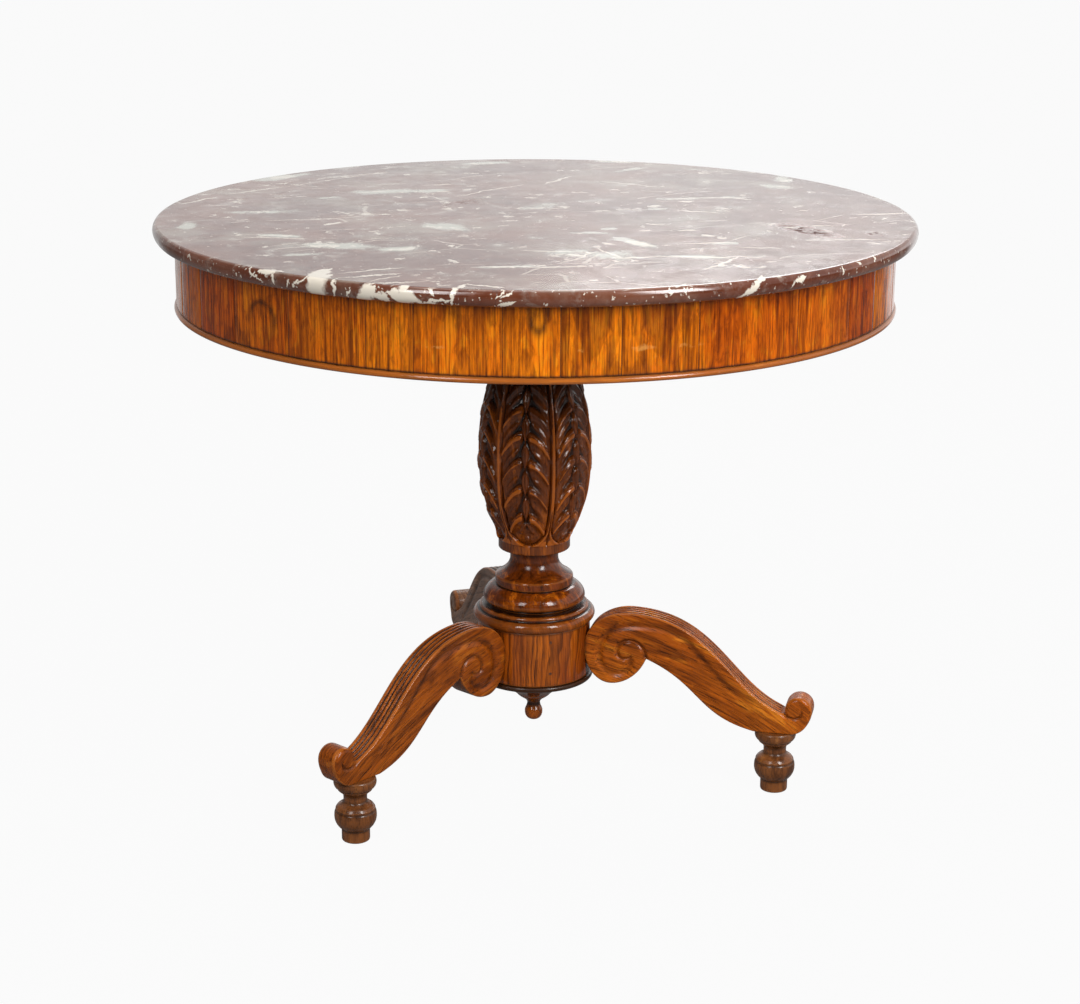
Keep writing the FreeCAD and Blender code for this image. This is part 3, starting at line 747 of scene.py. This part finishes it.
def makeBead(shape):
    # half-round strip turned round the table, closed across; the grain runs round
    inner, face, low, high = (shape[key] for key in ("inner", "face", "low", "high"))
    line = softened(linePoints((inner, low), [
        (face, low), (shape["proud"], low + 3.6, face, high - 0.8), (face - 0.8, high), (inner, high),
        (inner, low + 0.5),
    ], 0.8), 1)
    # painted shade along the top of the bead, against the veneer
    grid = turnedSheet(line, shape["rounds"], (0, 0), closed=True, gaps=[(face, high, 2.6)])
    away = line - shape["pith"]
    along = anglesRound(shape["rounds"]) * face
    grid["values"]["grain"] = np.stack(np.broadcast_arrays(away[:, 0], away[:, 1], along), -1)
    makePiece("apronBead", [grid], beadWood, "stand", ["apron_bead"])


makeBead(beadShape)

# Column, from the top down


def makeTurned(name, node, start, steps, pith, material, rounds=160, gap=0.7, **look):
    line = softened(linePoints(start, steps, gap), 3)
    grid = turnedSheet(line, rounds, pith, **look)
    makePiece(name, [grid], material, "stand", [node])


makeTurned("columnCapital", "capital", (0, 590), [
    (39.6, 590), (33, 595, 33, 606, 33, 618), (33, 660, 48, 678, 67, 678), (70, 681), (70, 694), (0, 694),
], (60, -110), turnedWood)

balusterShape = {
    "spigot": 18.0, "spigotLow": 152.0, "spigotHigh": 737.7, "low": 316.0, "high": 590.0, "ring": 47.6,
    "lowRing": 12.0, "highRing": 11.5, "ringSoft": 1.5, "body": 76.4, "bodyShare": 0.475, "rounds": 400,
    "leaves": 6, "stemTurn": 3.0, "depth": 8.0, "pitch": 36.0, "phase": 0.42, "climb": 32.0,
    "climbWidth": 38.0, "stemHalf": 3.0, "chainHalf": 5.4, "chainLow": 38.0, "forkHigh": 36.0,
    "forkTall": 17.0, "knobHigh": 11.0, "borderHigh": 26.0, "borderLow": 1.5, "spigotGap": 18.0,
}


def lobeSwell(step):
    # one lobe from below to its rim: hollow, fine ridge, hollow, then a bold rim grooved near its upper edge
    knots = [0.0, 0.04, 0.13, 0.23, 0.29, 0.35, 0.46, 0.56, 0.63, 0.7, 0.79, 0.85, 0.89, 0.93, 0.97, 1.0]
    swell = [0.2, 0.1, 0.9, 2.4, 3.8, 2.2, 1.7, 2.3, 3.7, 5.9, 7.2, 6.4, 4.5, 6.3, 4.2, 0.3]
    return np.interp(step, knots, swell)


def dome(x):
    # quarter round: 1 at the middle, 0 at one
    return np.sqrt(np.clip(1 - x, 0, 1))


def leafRelief(angle, height, radius, shape, low, high):
    # height of the carving above its ground, on (angle, z): between two ribs lies a leaf with a chain of
    # buds down its middle; lobes climb from the rib and arch over to the chain; a U bead closes its foot
    sector = tau / shape["leaves"]
    turned = (angle - math.radians(shape["stemTurn"] - 90)) % tau
    half = np.floor(turned / (sector / 2))
    off = sector / 2 - np.abs(turned % sector - sector / 2)
    fromStem = off * radius
    toChain = (sector / 2 - off) * radius
    width = sector / 2 * radius
    up = height - low
    rise = up / (high - low)
    stemHalf = shape["stemHalf"] * (1.15 - 0.35 * rise)
    wide = width - stemHalf
    # lobes
    q = np.clip((fromStem - stemHalf) / (wide - 0.5 * shape["chainHalf"]), 0, 1.2)
    climb = shape["climb"] * width / shape["climbWidth"] * (1 - (1 - np.minimum(q, 1))**2)
    total = (up - climb + 1.6 * np.sin(2.3 * half)) / shape["pitch"] + shape["phase"]
    number = np.floor(total)
    step = total - number
    bold = 0.94 + 0.1 * np.sin(2.2 * number + 1.3 * half)
    tip = smoothStep(1.04, 0.87, q + 0.12 * ((step - 0.75) / 0.4)**2)
    relief = np.maximum(lobeSwell(step) * bold * tip, 3.4 * np.clip(1 - 1.5 * q, 0, 1))
    relief = relief * (0.5 + 0.5 * smoothStep(0.0, 0.16, q))
    # the foot of the leaf: two leaflets and a knob on a plain hollow
    foot = smoothStep(0.5, 0.32, total)
    fork = (shape["forkHigh"] - up) / shape["forkTall"]
    leaflet = 5.0 * np.exp(-((toChain - 1.0 - 8.5 * fork) / 3.0)**2)
    leaflet = leaflet * smoothStep(-0.05, 0.2, fork) * smoothStep(1.15, 0.8, fork)
    knob = 5.6 * dome((toChain / 5.0)**2 + ((up - shape["knobHigh"]) / 5.5)**2)
    relief = relief * (1 - foot) + foot * 1.9
    relief = np.maximum(relief, np.maximum(leaflet, knob))
    # buds hang in the chain, each widest above its middle and grooved
    bud = (up - shape["chainLow"]) / shape["pitch"]
    budHalf = shape["chainHalf"] * np.sin(math.pi * (bud % 1.0)**1.35) + 0.3
    budRound = 6.0 * dome((toChain / budHalf)**2) - 1.6 * np.exp(-(toChain / 0.9)**2)
    relief = np.where(bud > 0, np.maximum(relief, budRound), relief)
    # distance out of the leaf: over its straight sides, and round the half ellipse at its foot
    border = shape["borderHigh"]
    down = np.clip(shape["borderLow"] + border - up, 0, None)
    way = (toChain / wide)**2 + (down / border)**2 - 1
    over = way / (2 * np.sqrt((toChain / wide**2)**2 + (down / border**2)**2) + 1e-6)
    relief = relief * smoothStep(-0.1, -2.0, over) + 0.2
    # rib and bead: a rounded band round the leaf, grooved down the middle of the rib in its lower half
    band = 6.8 * dome((1 - np.clip(over / 2.0, 0, 1))**2) - 1.5 * smoothStep(2.8, 4.6, over)
    band = band - 3.0 * np.exp(-fromStem**2) * smoothStep(0.28, 0.12, rise) + 2.4 * smoothStep(12, 1, up)
    relief = np.where(over > 0, np.maximum(band, 0.2), relief)
    # the carving runs out at the top ring
    last = smoothStep(high, high - 9, height)
    return relief * last + 4.0 * (1 - last), foot * (over < 0)


def makeBaluster(shape):
    # profile (r, z) turned round; on the body r drops by depth minus relief(angle, z)
    ring, spigot, body, bottom, top = (shape[key] for key in ("ring", "spigot", "body", "low", "high"))
    low, high, eased = bottom + shape["lowRing"], top - shape["highRing"], ring - shape["ringSoft"]
    middle = low + (high - low) * shape["bodyShare"]
    foot = linePoints((0, shape["spigotLow"]), [
        (spigot, shape["spigotLow"]), (spigot, bottom), (ring - 0.6, bottom),
    ], shape["spigotGap"])
    lowRing = linePoints((ring - 0.6, bottom), [(ring, bottom + 0.6), (ring, low)], 1.2)
    swell = linePoints((ring, low), [
        (ring + 18, low + 36, body, middle - 62, body, middle),
        (body, middle + 60, ring + 15, high - 34, eased, high),
    ], 1.35)
    highRing = softened(linePoints((eased, high), [
        (ring, high + 0.8), (ring - 0.2, top - 0.9), (eased, top),
    ], 0.9), 2)
    head = linePoints((eased, top), [
        (spigot, top), (spigot, shape["spigotHigh"]), (0, shape["spigotHigh"]),
    ], shape["spigotGap"])
    line = np.concatenate([foot[:-1], lowRing[:-1], swell, highRing[1:], head[1:]])
    angle = anglesRound(shape["rounds"])
    radius, height = line[:, 0] + 0 * angle, line[:, 1] + 0 * angle
    relief, hollow = leafRelief(angle, height, radius, shape, low, high)
    number = np.arange(len(line))
    first = len(foot) + len(lowRing) - 2
    carved = (number >= first) & (number < first + len(swell))
    inBody = carved * smoothStep(low, low + 2, height) * smoothStep(high, high - 3, height)
    points = turnedPoints(radius - inBody * (shape["depth"] - relief), angle, height)
    grain = np.stack([points[..., 0] - 70 + 0.05 * height, points[..., 1] + 120, height], -1)
    # painted shade with some wax: the recesses darker, more so higher up, and the painted shadow of the rim
    # over the top; a dark line at the top ring; crests lighter as bare wood and painted highlight, less so
    # higher up
    crevice = smoothStep(2.5, 0.4, relief) * (0.72 + 0.28 * smoothStep(400, 500, height))
    crevice = inBody * (crevice * (1 - 0.5 * hollow) + 0.85 * smoothStep(480, 580, height))
    crevice = np.clip(crevice + 0.45 * np.exp(-((height - high) / 1.2)**2), 0, 1)
    edge = inBody * smoothStep(5.2, 6.7, relief) * (1 - 0.6 * smoothStep(470, 540, height))
    grid = sheet(points, True, grain=grain, crevice=crevice, edge=edge)
    makePiece("carvedBaluster", [grid], carvedWood, "stand", ["baluster"], sharpAngle=70)


makeBaluster(balusterShape)

# gaps paint shade where one turned piece meets the next and under overhangs
makeTurned("columnNeck", "column_neck", (0, 238), [
    (59, 238), (59, 242), (65, 242, 68, 245, 68, 249), (68, 258, 58, 266, 50.5, 266), (52, 267), (52, 277),
    (51.5, 278), (40, 284, 32, 292, 32, 302), (32, 309, 33.5, 313, 36.5, 316), (0, 316),
], (95, -70), turnedWood, lean=0.3, gaps=[(60, 240, 6), (51, 266, 2.5), (36.5, 315, 3)])
makeTurned("drumCap", "drum_cap", (0, 217), [
    (75.4, 217), (81.4, 223.75, 74.8, 232), (73.3, 232), (73.3, 236), (71.3, 238), (0, 238),
], (-60, -120), turnedWood, lean=0.25, gaps=[(63, 238, 7), (74, 232, 2.5), (75, 217, 2)])
makeTurned("legDrum", "drum", (0, 142), [
    (75.15, 142), (75.15, 217), (0, 217),
], (40, -150), drumWood, rounds=200, gaps=[(75, 217, 2.5), (75, 142, 2)])
makeTurned("drumBase", "drum_base", (0, 135), [
    (74.5, 135), (78.5, 135, 79.5, 137.45, 79.5, 139.55), (78.5, 142), (0, 142),
], (120, 60), baseWood, gaps=[(77, 142, 4)])
makeTurned("turnedDrop", "drop", (0, 69), [
    (8.64, 69.4, 12, 74.1, 12, 81.6), (12, 86.6, 8.8, 88.1, 8.6, 94.1), (9.5, 100.1, 18, 102.1, 22.5, 107.3),
    (31, 117.8, 52, 123, 52, 131), (52, 135), (0, 135),
], (60, 40), drumWood, rounds=120, gaps=[(8.6, 93, 4)])

# Legs

legShape = {
    "width": 35.0, "drum": 75.4, "inner": 71.9, "crest": (133.4, 236.5), "scrollMid": 185.0,
    "low": (107.9, 136.0), "crotch": (156.4, 174.2), "crease": (344.44, 111.48), "roll": (361.0, 118.5),
    "rollRadius": 18.0, "toe": 379.0, "seatIn": 302.7, "seatOut": 352.0, "seat": 85.0, "eye": (131.0, 184.0),
    "round": 2.2, "reeds": 5, "reedDepth": 3.2, "grainStart": (115, 190), "grainRun": (0.925, -0.38),
    "footReach": 330.0,
    # points along the scroll, the sweeps and the toe, across the side and across the thickness
    "scrollCount": 170, "sweepCount": 130, "toeCount": 80, "across": 50, "through": 61,
    "turns": {"back": 90.0, "left": 210.0, "right": 330.0},
    "woods": {"back": fadedWood, "left": darkLegWood, "right": legWood},
}


def legLines(shape):
    # side view of the leg in (rho, z): scroll from crotch to crest, upper and lower sweep, and toe
    crest, low, crotch, crease, roll = (
        np.array(shape[n]) for n in ("crest", "low", "crotch", "crease", "roll")
    )
    inner, mid, tip, seat = (shape[n] for n in ("inner", "scrollMid", "toe", "seat"))
    seatIn, seatOut = shape["seatIn"], shape["seatOut"]
    k = 0.5523    # handle of a quarter round
    gap = 0.5
    drop, lift = mid - low[1], roll[1] - seat
    scroll = linePoints(crotch, [
        (crotch[0] - 7, crotch[1] - 20, low[0] + 0.45 * drop, low[1], *low),
        (low[0] - k * (low[0] - inner), low[1], inner, mid - k * drop, inner, mid),
        (inner, mid + k * (crest[1] - mid), crest[0] - k * (crest[0] - inner), crest[1], *crest),
    ], gap)
    slope = math.radians(18)
    fall = np.array([math.cos(slope), -math.sin(slope)])
    run = crease[0] - crest[0]
    handle = crease - 0.385 * run * fall
    upper = linePoints(crest, [(crest[0] + 0.55 * run, crest[1], *handle, *crease)], gap)
    under = seatIn - crotch[0]
    lower = linePoints(crotch, [(
        crotch[0] + 0.51 * under, crotch[1] - 0.205 * under, seatIn - 0.53 * under, seat + 0.11 * under,
        seatIn, seat,
    )], gap)
    toe = linePoints((seatOut, seat), [
        (seatOut + k * (tip - seatOut), seat, tip, roll[1] - lift * (1 - k), tip, roll[1]),
        (roll[0], roll[1] + shape["rollRadius"], *crease),
    ], gap)
    return scroll, upper, lower, toe


def nearest(points, line):
    # distance from each point to the nearest point of a line, with the share of the line where that is
    spots = points[..., 0] + 1j * points[..., 1]
    marks = line[:, 0] + 1j * line[:, 1]
    away = np.abs(spots.reshape(-1, 1) - marks[None])
    return away.min(1).reshape(spots.shape), (away.argmin(1) / (len(line) - 1)).reshape(spots.shape)


def edgeRound(places, shape):
    # radius of the edges, which is larger near the roll
    away = places - shape["roll"]
    return shape["round"] + 4.0 * smoothStep(28, 19, np.hypot(away[..., 0], away[..., 1]))


def legSheets(shape):
    # the side is a ribbon P = A(s) + (B(s) - A(s)) t between two lines: it fans round the eye of the scroll,
    # runs down the leg between the two sweeps, and fans round the middle of the roll
    scroll, upper, lower, toe = legLines(shape)
    t = np.linspace(0, 1, shape["across"])[:, None]
    eye, roll, crotch, crease = (np.array(shape[n]) for n in ("eye", "roll", "crotch", "crease"))
    seatIn, seatOut = (np.array([shape[n], shape["seat"]]) for n in ("seatIn", "seatOut"))
    scroll, toe = evenly(scroll, count=shape["scrollCount"]), evenly(toe, count=shape["toeCount"])
    cut = 60
    upperA = evenly(upper[:cut], count=shape["across"])
    upperB, lower = (evenly(line, count=shape["sweepCount"]) for line in (upper[cut - 1:], lower))
    seat = seatIn + (seatOut - seatIn) * t
    top = [scroll, upperA[1:], upperB[1:]]
    a = np.concatenate([0 * scroll + eye, eye + (crotch - eye) * t[1:], lower[1:], seat[1:], toe[1:]])
    b = np.concatenate([*top, crease + (roll - crease) * t[1:], 0 * toe[1:] + roll])
    side = a[:, None] + (b - a)[:, None] * t
    rim = np.concatenate([*top, toe[::-1][1:], seat[::-1][1:], lower[::-1][1:-1]])
    edgeAway, _ = nearest(side, np.concatenate([rim, rim[:1]]))
    rounding = edgeRound(side, shape)
    inset = rounding - np.sqrt(np.clip(rounding**2 - np.clip(rounding - edgeAway, 0, None)**2, 0, None))
    # channel of the volute: from the leg's side over the scroll and round into a hook
    channel = linePoints((300, 117), [
        (270, 140, 240, 172, 217, 197.7), (200, 215, 178, 220, 150, 220.1), (118, 220.5, 93, 208, 92.7, 176),
        (92.5, 156, 108, 148, 121, 151.4), (131, 154, 135, 160, 135.3, 168.7),
    ], 1.0)
    eyeLine = linePoints((156.2, 174), [
        (154, 190, 146, 198, 133.8, 198.1), (122, 198, 114, 186, 118, 177), (121, 170, 131, 171, 135.3, 175),
    ], 1.0)
    channelAway, share = nearest(side, channel)
    eyeAway, _ = nearest(side, eyeLine)
    deep = 1.3 + 1.7 * smoothStep(0.15, 0.5, share)
    wide = 3.4 + 1.6 * smoothStep(0.15, 0.45, share)
    groove = deep * np.exp(-(channelAway / wide)**2)
    eyeShare = np.exp(-(eyeAway / 2.6)**2)
    # the roll: a line hooks in from the crease over its end
    hook = linePoints(crease, [
        (350, 106.5, 359, 106, 363.5, 111), (366.5, 115, 366, 121.5, 361, 122.5),
    ], 0.5)
    hookAway, hookShare = nearest(side, hook)
    hookGroove = 2.0 * np.exp(-(hookAway / 1.9)**2) * smoothStep(1.0, 0.7, hookShare)
    relief = np.maximum(groove, 2.8 * eyeShare) * smoothStep(0.3, 3.0, edgeAway) + hookGroove
    half = shape["width"] / 2
    y = half - inset - relief
    # painted shade: a soft shadow line along the channel, darker round the eye and in the hook of the roll;
    # the edges lighter as bare wood and painted highlight
    shadow = np.exp(-(channelAway / 3.4)**2) * (0.62 - 0.3 * smoothStep(0.35, 0.6, share))
    crevice = np.clip(shadow * smoothStep(0.0, 0.12, share) + 0.5 * eyeShare, 0, 1)
    crevice = np.maximum(np.where(edgeAway < 0.5, 0, crevice), 0.3 * hookGroove)
    edge = smoothStep(2.6, 0.8, edgeAway)
    # strip across the thickness: reeded over the scroll and the upper sweep, plain elsewhere
    rimRun = np.roll(rim, -1, 0) - np.roll(rim, 1, 0)
    out = np.stack([-rimRun[:, 1], rimRun[:, 0]], 1) / np.hypot(*rimRun.T)[:, None]
    cross = np.linspace(-1, 1, shape["through"])
    rimY = cross * (half - edgeRound(rim, shape))[:, None]
    number = np.arange(len(rim))
    topCount = sum(map(len, top))
    reeded = (smoothStep(105, 120, number) * smoothStep(topCount - 2, topCount - 8, number))[:, None]
    pitch = shape["width"] / shape["reeds"]
    reed = np.where(np.abs(rimY) > half - pitch / 2, 0.5, (rimY + half) / pitch % 1.0)
    sunk = shape["reedDepth"] * (1 - dome(0.97 * (2 * reed - 1)**2)) * reeded
    rimPoints = rim[:, None] - out[:, None] * sunk[..., None]
    rimEdge = reeded * smoothStep(0.3, 0.0, sunk) * 0.6 + smoothStep(0.93, 1.0, np.abs(cross)) * 0.5
    # painted shade in the reed grooves; the reed crests lighter as bare wood and painted highlight
    return [
        (side, y, crevice, edge, False), (side, -y, crevice, edge, False),
        (rimPoints, rimY, smoothStep(0.25, 1.3, sunk), np.clip(rimEdge, 0, 1), True),
    ]


def makeLeg(name, turn, shape, parts):
    # (rho, y, z) turned about the column; hollowed to the drum; grain runs from the scroll down to the foot
    c, s = math.cos(turn), math.sin(turn)
    (startRho, startZ), (runRho, runZ) = shape["grainStart"], shape["grainRun"]
    sheets = []
    for flat, y, crevice, edge, wrap in parts:
        seat = np.sqrt(np.maximum(shape["drum"]**2 - y**2, 0)) + 0.05
        rho, z = np.maximum(flat[..., 0], seat), flat[..., 1]
        points = np.stack([rho * c - y * s, rho * s + y * c, z], -1)
        length = (rho - startRho) * runRho + (z - startZ) * runZ
        lifted = -(rho - startRho) * runZ + (z - startZ) * runRho + 0.0007 * (length - 110)**2
        grain = np.stack([y + 55 + 0.03 * length, lifted - 40 - 30 * s, length + 900 * turn], -1)
        # painted shade where the leg meets the drum
        crevice = np.clip(crevice + 0.8 * np.exp(-((rho - seat) / 3.0)**2), 0, 1)
        sheets.append(sheet(points, wrap, grain=grain, crevice=crevice, edge=edge))
    wood = shape["woods"][name]
    makePiece("scrollLeg_" + name, sheets, wood, "stand", ["leg_" + name], sharpAngle=60)


footSteps = [
    (17, 0), (18, 1.5), (18, 16), (20.5, 18, 27, 23.5, 27, 33.5), (27, 37, 26.7, 39, 26.2, 40.4),
    (25.5, 41), (25.2, 44.8), (24.2, 45.4), (23.4, 48.8, 18.5, 49.6, 15.6, 53), (15, 54.5), (15, 59.5),
    (15, 64, 18.5, 66.2, 21.4, 68.4), (22.3, 69.4), (22.5, 71.6), (24.6, 72.4), (27.3, 78.2, 25.8, 85),
    (0, 85),
]
legParts = legSheets(legShape)
for legName, legDegrees in legShape["turns"].items():
    makeLeg(legName, math.radians(legDegrees), legShape, legParts)
for legName, legDegrees in legShape["turns"].items():
    legTurn = math.radians(legDegrees)
    footCentre = (legShape["footReach"] * math.cos(legTurn), legShape["footReach"] * math.sin(legTurn))
    # gaps paint shade at the top of each foot under the leg, and at its steps
    makeTurned(
        "turnedFoot_" + legName, "foot_" + legName, (0, 0), footSteps, (35 + legDegrees / 9, 30), footWood,
        centre=footCentre, rounds=96, gap=0.6, gaps=[(25.8, 85, 3), (25.4, 41, 1.6), (18, 16, 2)],
    )

# Carcass parts and fittings that stay as they are in the frame


def makeCarcass():
    # unpolished softwood: broad rings seen along the brick, greyed by dust
    material, tree, shader = newMaterial("bareSoftwood")
    spot = put(tree, "TexCoord").outputs["Object"]
    laid = {"Vector": spot, "Rotation": (0.2, 1.45, 0.3), "Location": (0.1, 0.35, 0.2)}
    laid = put(tree, "Mapping", laid).outputs[0]
    figure = useGroup(tree, woodFigure, {"Vector": laid, "Pith": laid, "Ring Gap": 0.009, "Warp": 0.02})
    colour = blendTones(tree, between(tree, figure["Cloud"], 0.3, 0.7), (132, 98, 64), (106, 72, 44))
    colour = blendTones(tree, times(tree, figure["Ring"], 0.55), colour, (70, 44, 24))
    polish = useGroup(tree, oldPolish, {
        "Vector": spot, "Colour": colour, "Crevice": between(tree, figure["Fibre"], 0.4, 0.8), "Edge": 0.0,
        "Wax": tone(58, 42, 30), "Bare": tone(150, 120, 84), "Wax Share": 0.5, "Bare Share": 0.0,
        "Gloss": 0.7,
    })
    bump = put(tree, "Bump", {"Height": figure["Fibre"], "Strength": 0.4, "Distance": 0.0004}).outputs[0]
    plug(tree, shader, {"Base Color": polish["Colour"], "Roughness": polish["Roughness"], "Normal": bump})
    return material


def makePegWood():
    # end grain of the small pegs, darker than the drum
    material, tree, shader = newMaterial("pegWood")
    fleck = noise(tree, put(tree, "TexCoord").outputs["Object"], 900.0, 3.0, 0.6)
    plug(tree, shader, {
        "Base Color": blendTones(tree, between(tree, fleck, 0.35, 0.7), (104, 58, 26), (52, 24, 10)),
        "Roughness": between(tree, fleck, 0.3, 0.7, 0.35, 0.5),
    })
    return material


def makeIron():
    # dull iron with rust in patches
    material, tree, shader = newMaterial("dullIron")
    rust = noise(tree, put(tree, "TexCoord").outputs["Object"], 420.0, 5.0, 0.65)
    rust = between(tree, rust, 0.45, 0.62)
    plug(tree, shader, {
        "Base Color": blendTones(tree, rust, (96, 92, 88), (104, 60, 36)),
        "Metallic": calc(tree, "SUBTRACT", 0.9, rust, True),
        "Roughness": between(tree, rust, 0.0, 1.0, 0.4, 0.8),
    })
    return material


keptNodes = dict.fromkeys([
    "rim_course_lower", "rim_course_middle", "rim_course_upper", "bearer_under", "bearer_over",
    "glue_blocks", "spigot_wedge",
], makeCarcass())
keptNodes.update(column_pegs=makePegWood(), bearer_screws=makeIron())
for nodeName, finish in keptNodes.items():
    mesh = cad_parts[nodeName].data
    mesh.materials.clear()
    mesh.materials.append(finish)
print("finishes on kept nodes:", len(keptNodes))

# Floor, light and camera

viewTurn = math.radians(-16.96)    # where the camera stands round the table, from -y towards +x
white = (1, 1, 1, 1)


def roundTable(x, y, z):
    # a place given as seen from the camera: x to the right, y away from it
    c, s = math.cos(viewTurn), math.sin(viewTurn)
    return (x * c - y * s, x * s + y * c, z)


def towards(tree, way, x, y, z):
    # how far a direction or place lies towards a direction given as seen from the camera
    return calcVector(tree, "DOT_PRODUCT", way, roundTable(x, y, z))


def setPlace(thing, *columns):
    # axes and place of a lamp or the camera
    rows = np.column_stack(columns).tolist()
    thing.matrix_world = Matrix([*rows, [0, 0, 0, 1]])


def makeFloor():
    # wide disc, pale, with the soft shadow of the table left on it
    rounds, reach = 96, np.linspace(0, 30000, 3)
    points = turnedPoints(reach, anglesRound(rounds), 0 * reach - 0.5) * mm
    faces = gridFaces(rounds, len(reach), (True, False), 0)
    mesh = bpy.data.meshes.new("studioFloor")
    mesh.from_pydata(points.reshape(-1, 3).tolist(), [], faces.tolist())
    material, tree, shader = newMaterial("paleFloor")
    plug(tree, shader, {"Base Color": (0.22, 0.22, 0.22, 1), "Roughness": 0.9, "Specular IOR Level": 0.0})
    glow = put(tree, "Emission", {"Color": white, "Strength": 1.0})
    path = put(tree, "LightPath").outputs
    share = times(tree, calc(tree, "MAXIMUM", path["Is Camera Ray"], path["Is Transmission Ray"]), 0.95)
    # reflections show the white floor far behind the table too, brighter on the right
    spot = put(tree, "TexCoord").outputs["Object"]
    far = calcVector(tree, "LENGTH", spot)
    behind = calc(tree, "DIVIDE", towards(tree, spot, 0, 1, 0), far)
    aside = towards(tree, spot, 1, 0, 0)
    sweep = times(tree, between(tree, far, 2.2, 3.0), between(tree, aside, -1.0, 1.0, 0.55, 0.95))
    sweep = times(tree, sweep, between(tree, behind, 0.72, 0.84))
    share = calc(tree, "MAXIMUM", share, times(tree, sweep, path["Is Glossy Ray"]))
    mix = put(tree, "MixShader", {0: share, 1: shader.outputs[0], 2: glow.outputs[0]})
    plug(tree, tree.nodes["Material Output"], {"Surface": mix.outputs[0]})
    mesh.materials.append(material)
    floor = addObject("studioFloor", mesh)


def makeWorld():
    # white backdrop behind the table, a dimmer room on the side of the camera
    world = bpy.data.worlds.new("studioWorld")
    bpy.context.scene.world = world
    world.use_nodes = True
    tree = world.node_tree
    way = put(tree, "TexCoord").outputs["Generated"]
    behind, aside = towards(tree, way, 0.2, 0.92, 0.34), towards(tree, way, 1, 0, 0)
    rise = put(tree, "SeparateXYZ", {0: way}).outputs["Z"]
    fill = tree.nodes["Background"]
    plug(tree, fill, {"Color": white, "Strength": between(tree, behind, -0.6, 0.5, 0.16, 0.5)})
    # what the polish mirrors: dimmer to the left and higher up
    shine = between(tree, behind, -0.42, 0.24, 0.06, 1.0)
    shine = times(tree, shine, between(tree, aside, -0.4, 0.15, 0.7, 1.0))
    shine = times(tree, shine, between(tree, rise, 0.166, 0.202, 1.0, 0.66))
    shine = times(tree, shine, between(tree, aside, -0.75, -0.35, 0.3, 1.0))
    mirrored = put(tree, "Background", {"Color": white, "Strength": shine})
    backdrop = put(tree, "Background", {"Color": white, "Strength": 1.0})
    path = put(tree, "LightPath").outputs
    mix = put(tree, "MixShader", {0: path["Is Glossy Ray"], 1: fill.outputs[0], 2: mirrored.outputs[0]})
    seen = calc(tree, "MAXIMUM", path["Is Camera Ray"], path["Is Transmission Ray"])
    last = put(tree, "MixShader", {0: seen, 1: mix.outputs[0], 2: backdrop.outputs[0]})
    plug(tree, tree.nodes["World Output"], {"Surface": last.outputs[0]})


def makeLight(name, place, aim, wide, tall, power):
    light = bpy.data.lights.new(name, "AREA")
    light.shape = "RECTANGLE"
    light.size, light.size_y, light.energy = wide, tall, power
    place, aim = np.array(roundTable(*place)), np.array(roundTable(*aim))
    back = (place - aim) / np.linalg.norm(place - aim)
    right = np.cross((0, 0, 1), back)
    right /= np.linalg.norm(right)
    setPlace(addObject(name, light), right, np.cross(back, right), back, place)


cameraShape = {
    # lens and place found from the ellipses of the top and the feet: metres, pixels, degrees
    "distance": 3.070073, "height": 1.288467, "focal": 2419.253, "picture": 1080, "film": 36,
    "pitch": 16.551, "roll": 0.273, "yaw": 0.137,
}


def makeCamera(shape):
    pitch, roll, yaw = (math.radians(shape[key]) for key in ("pitch", "roll", "yaw"))
    ahead = np.array([math.sin(yaw) * math.cos(pitch), math.cos(yaw) * math.cos(pitch), -math.sin(pitch)])
    right = np.array([math.cos(yaw), -math.sin(yaw), 0])
    up = np.cross(right, ahead)
    rolled = right * math.cos(roll) + up * math.sin(roll)
    upright = up * math.cos(roll) - right * math.sin(roll)
    place = (0, -shape["distance"], shape["height"])
    data = bpy.data.cameras.new("studioCamera")
    data.sensor_fit, data.sensor_width = "HORIZONTAL", shape["film"]
    data.lens = shape["focal"] / shape["picture"] * shape["film"]
    camera = addObject("studioCamera", data)
    setPlace(camera, *(roundTable(*v) for v in (rolled, upright, -ahead, place)))
    bpy.context.scene.camera = camera


makeFloor()
makeWorld()
makeLight("softLeft", (-1.25, -2.3, 2.0), (0, 0, 0.45), 0.7, 1.8, 33)
makeLight("softRight", (1.62, -2.0, 1.9), (0, 0, 0.45), 0.7, 1.8, 62)
makeLight("softTop", (0, 0.3, 3.0), (0, 0, 0.7), 1.6, 1.6, 13)
makeLight("softBack", (0.6, 2.6, 2.2), (0, 0, 0.5), 1.2, 1.2, 24)
makeCamera(cameraShape)
bpy.context.scene.view_settings.view_transform = "Standard"

print("scene ready")
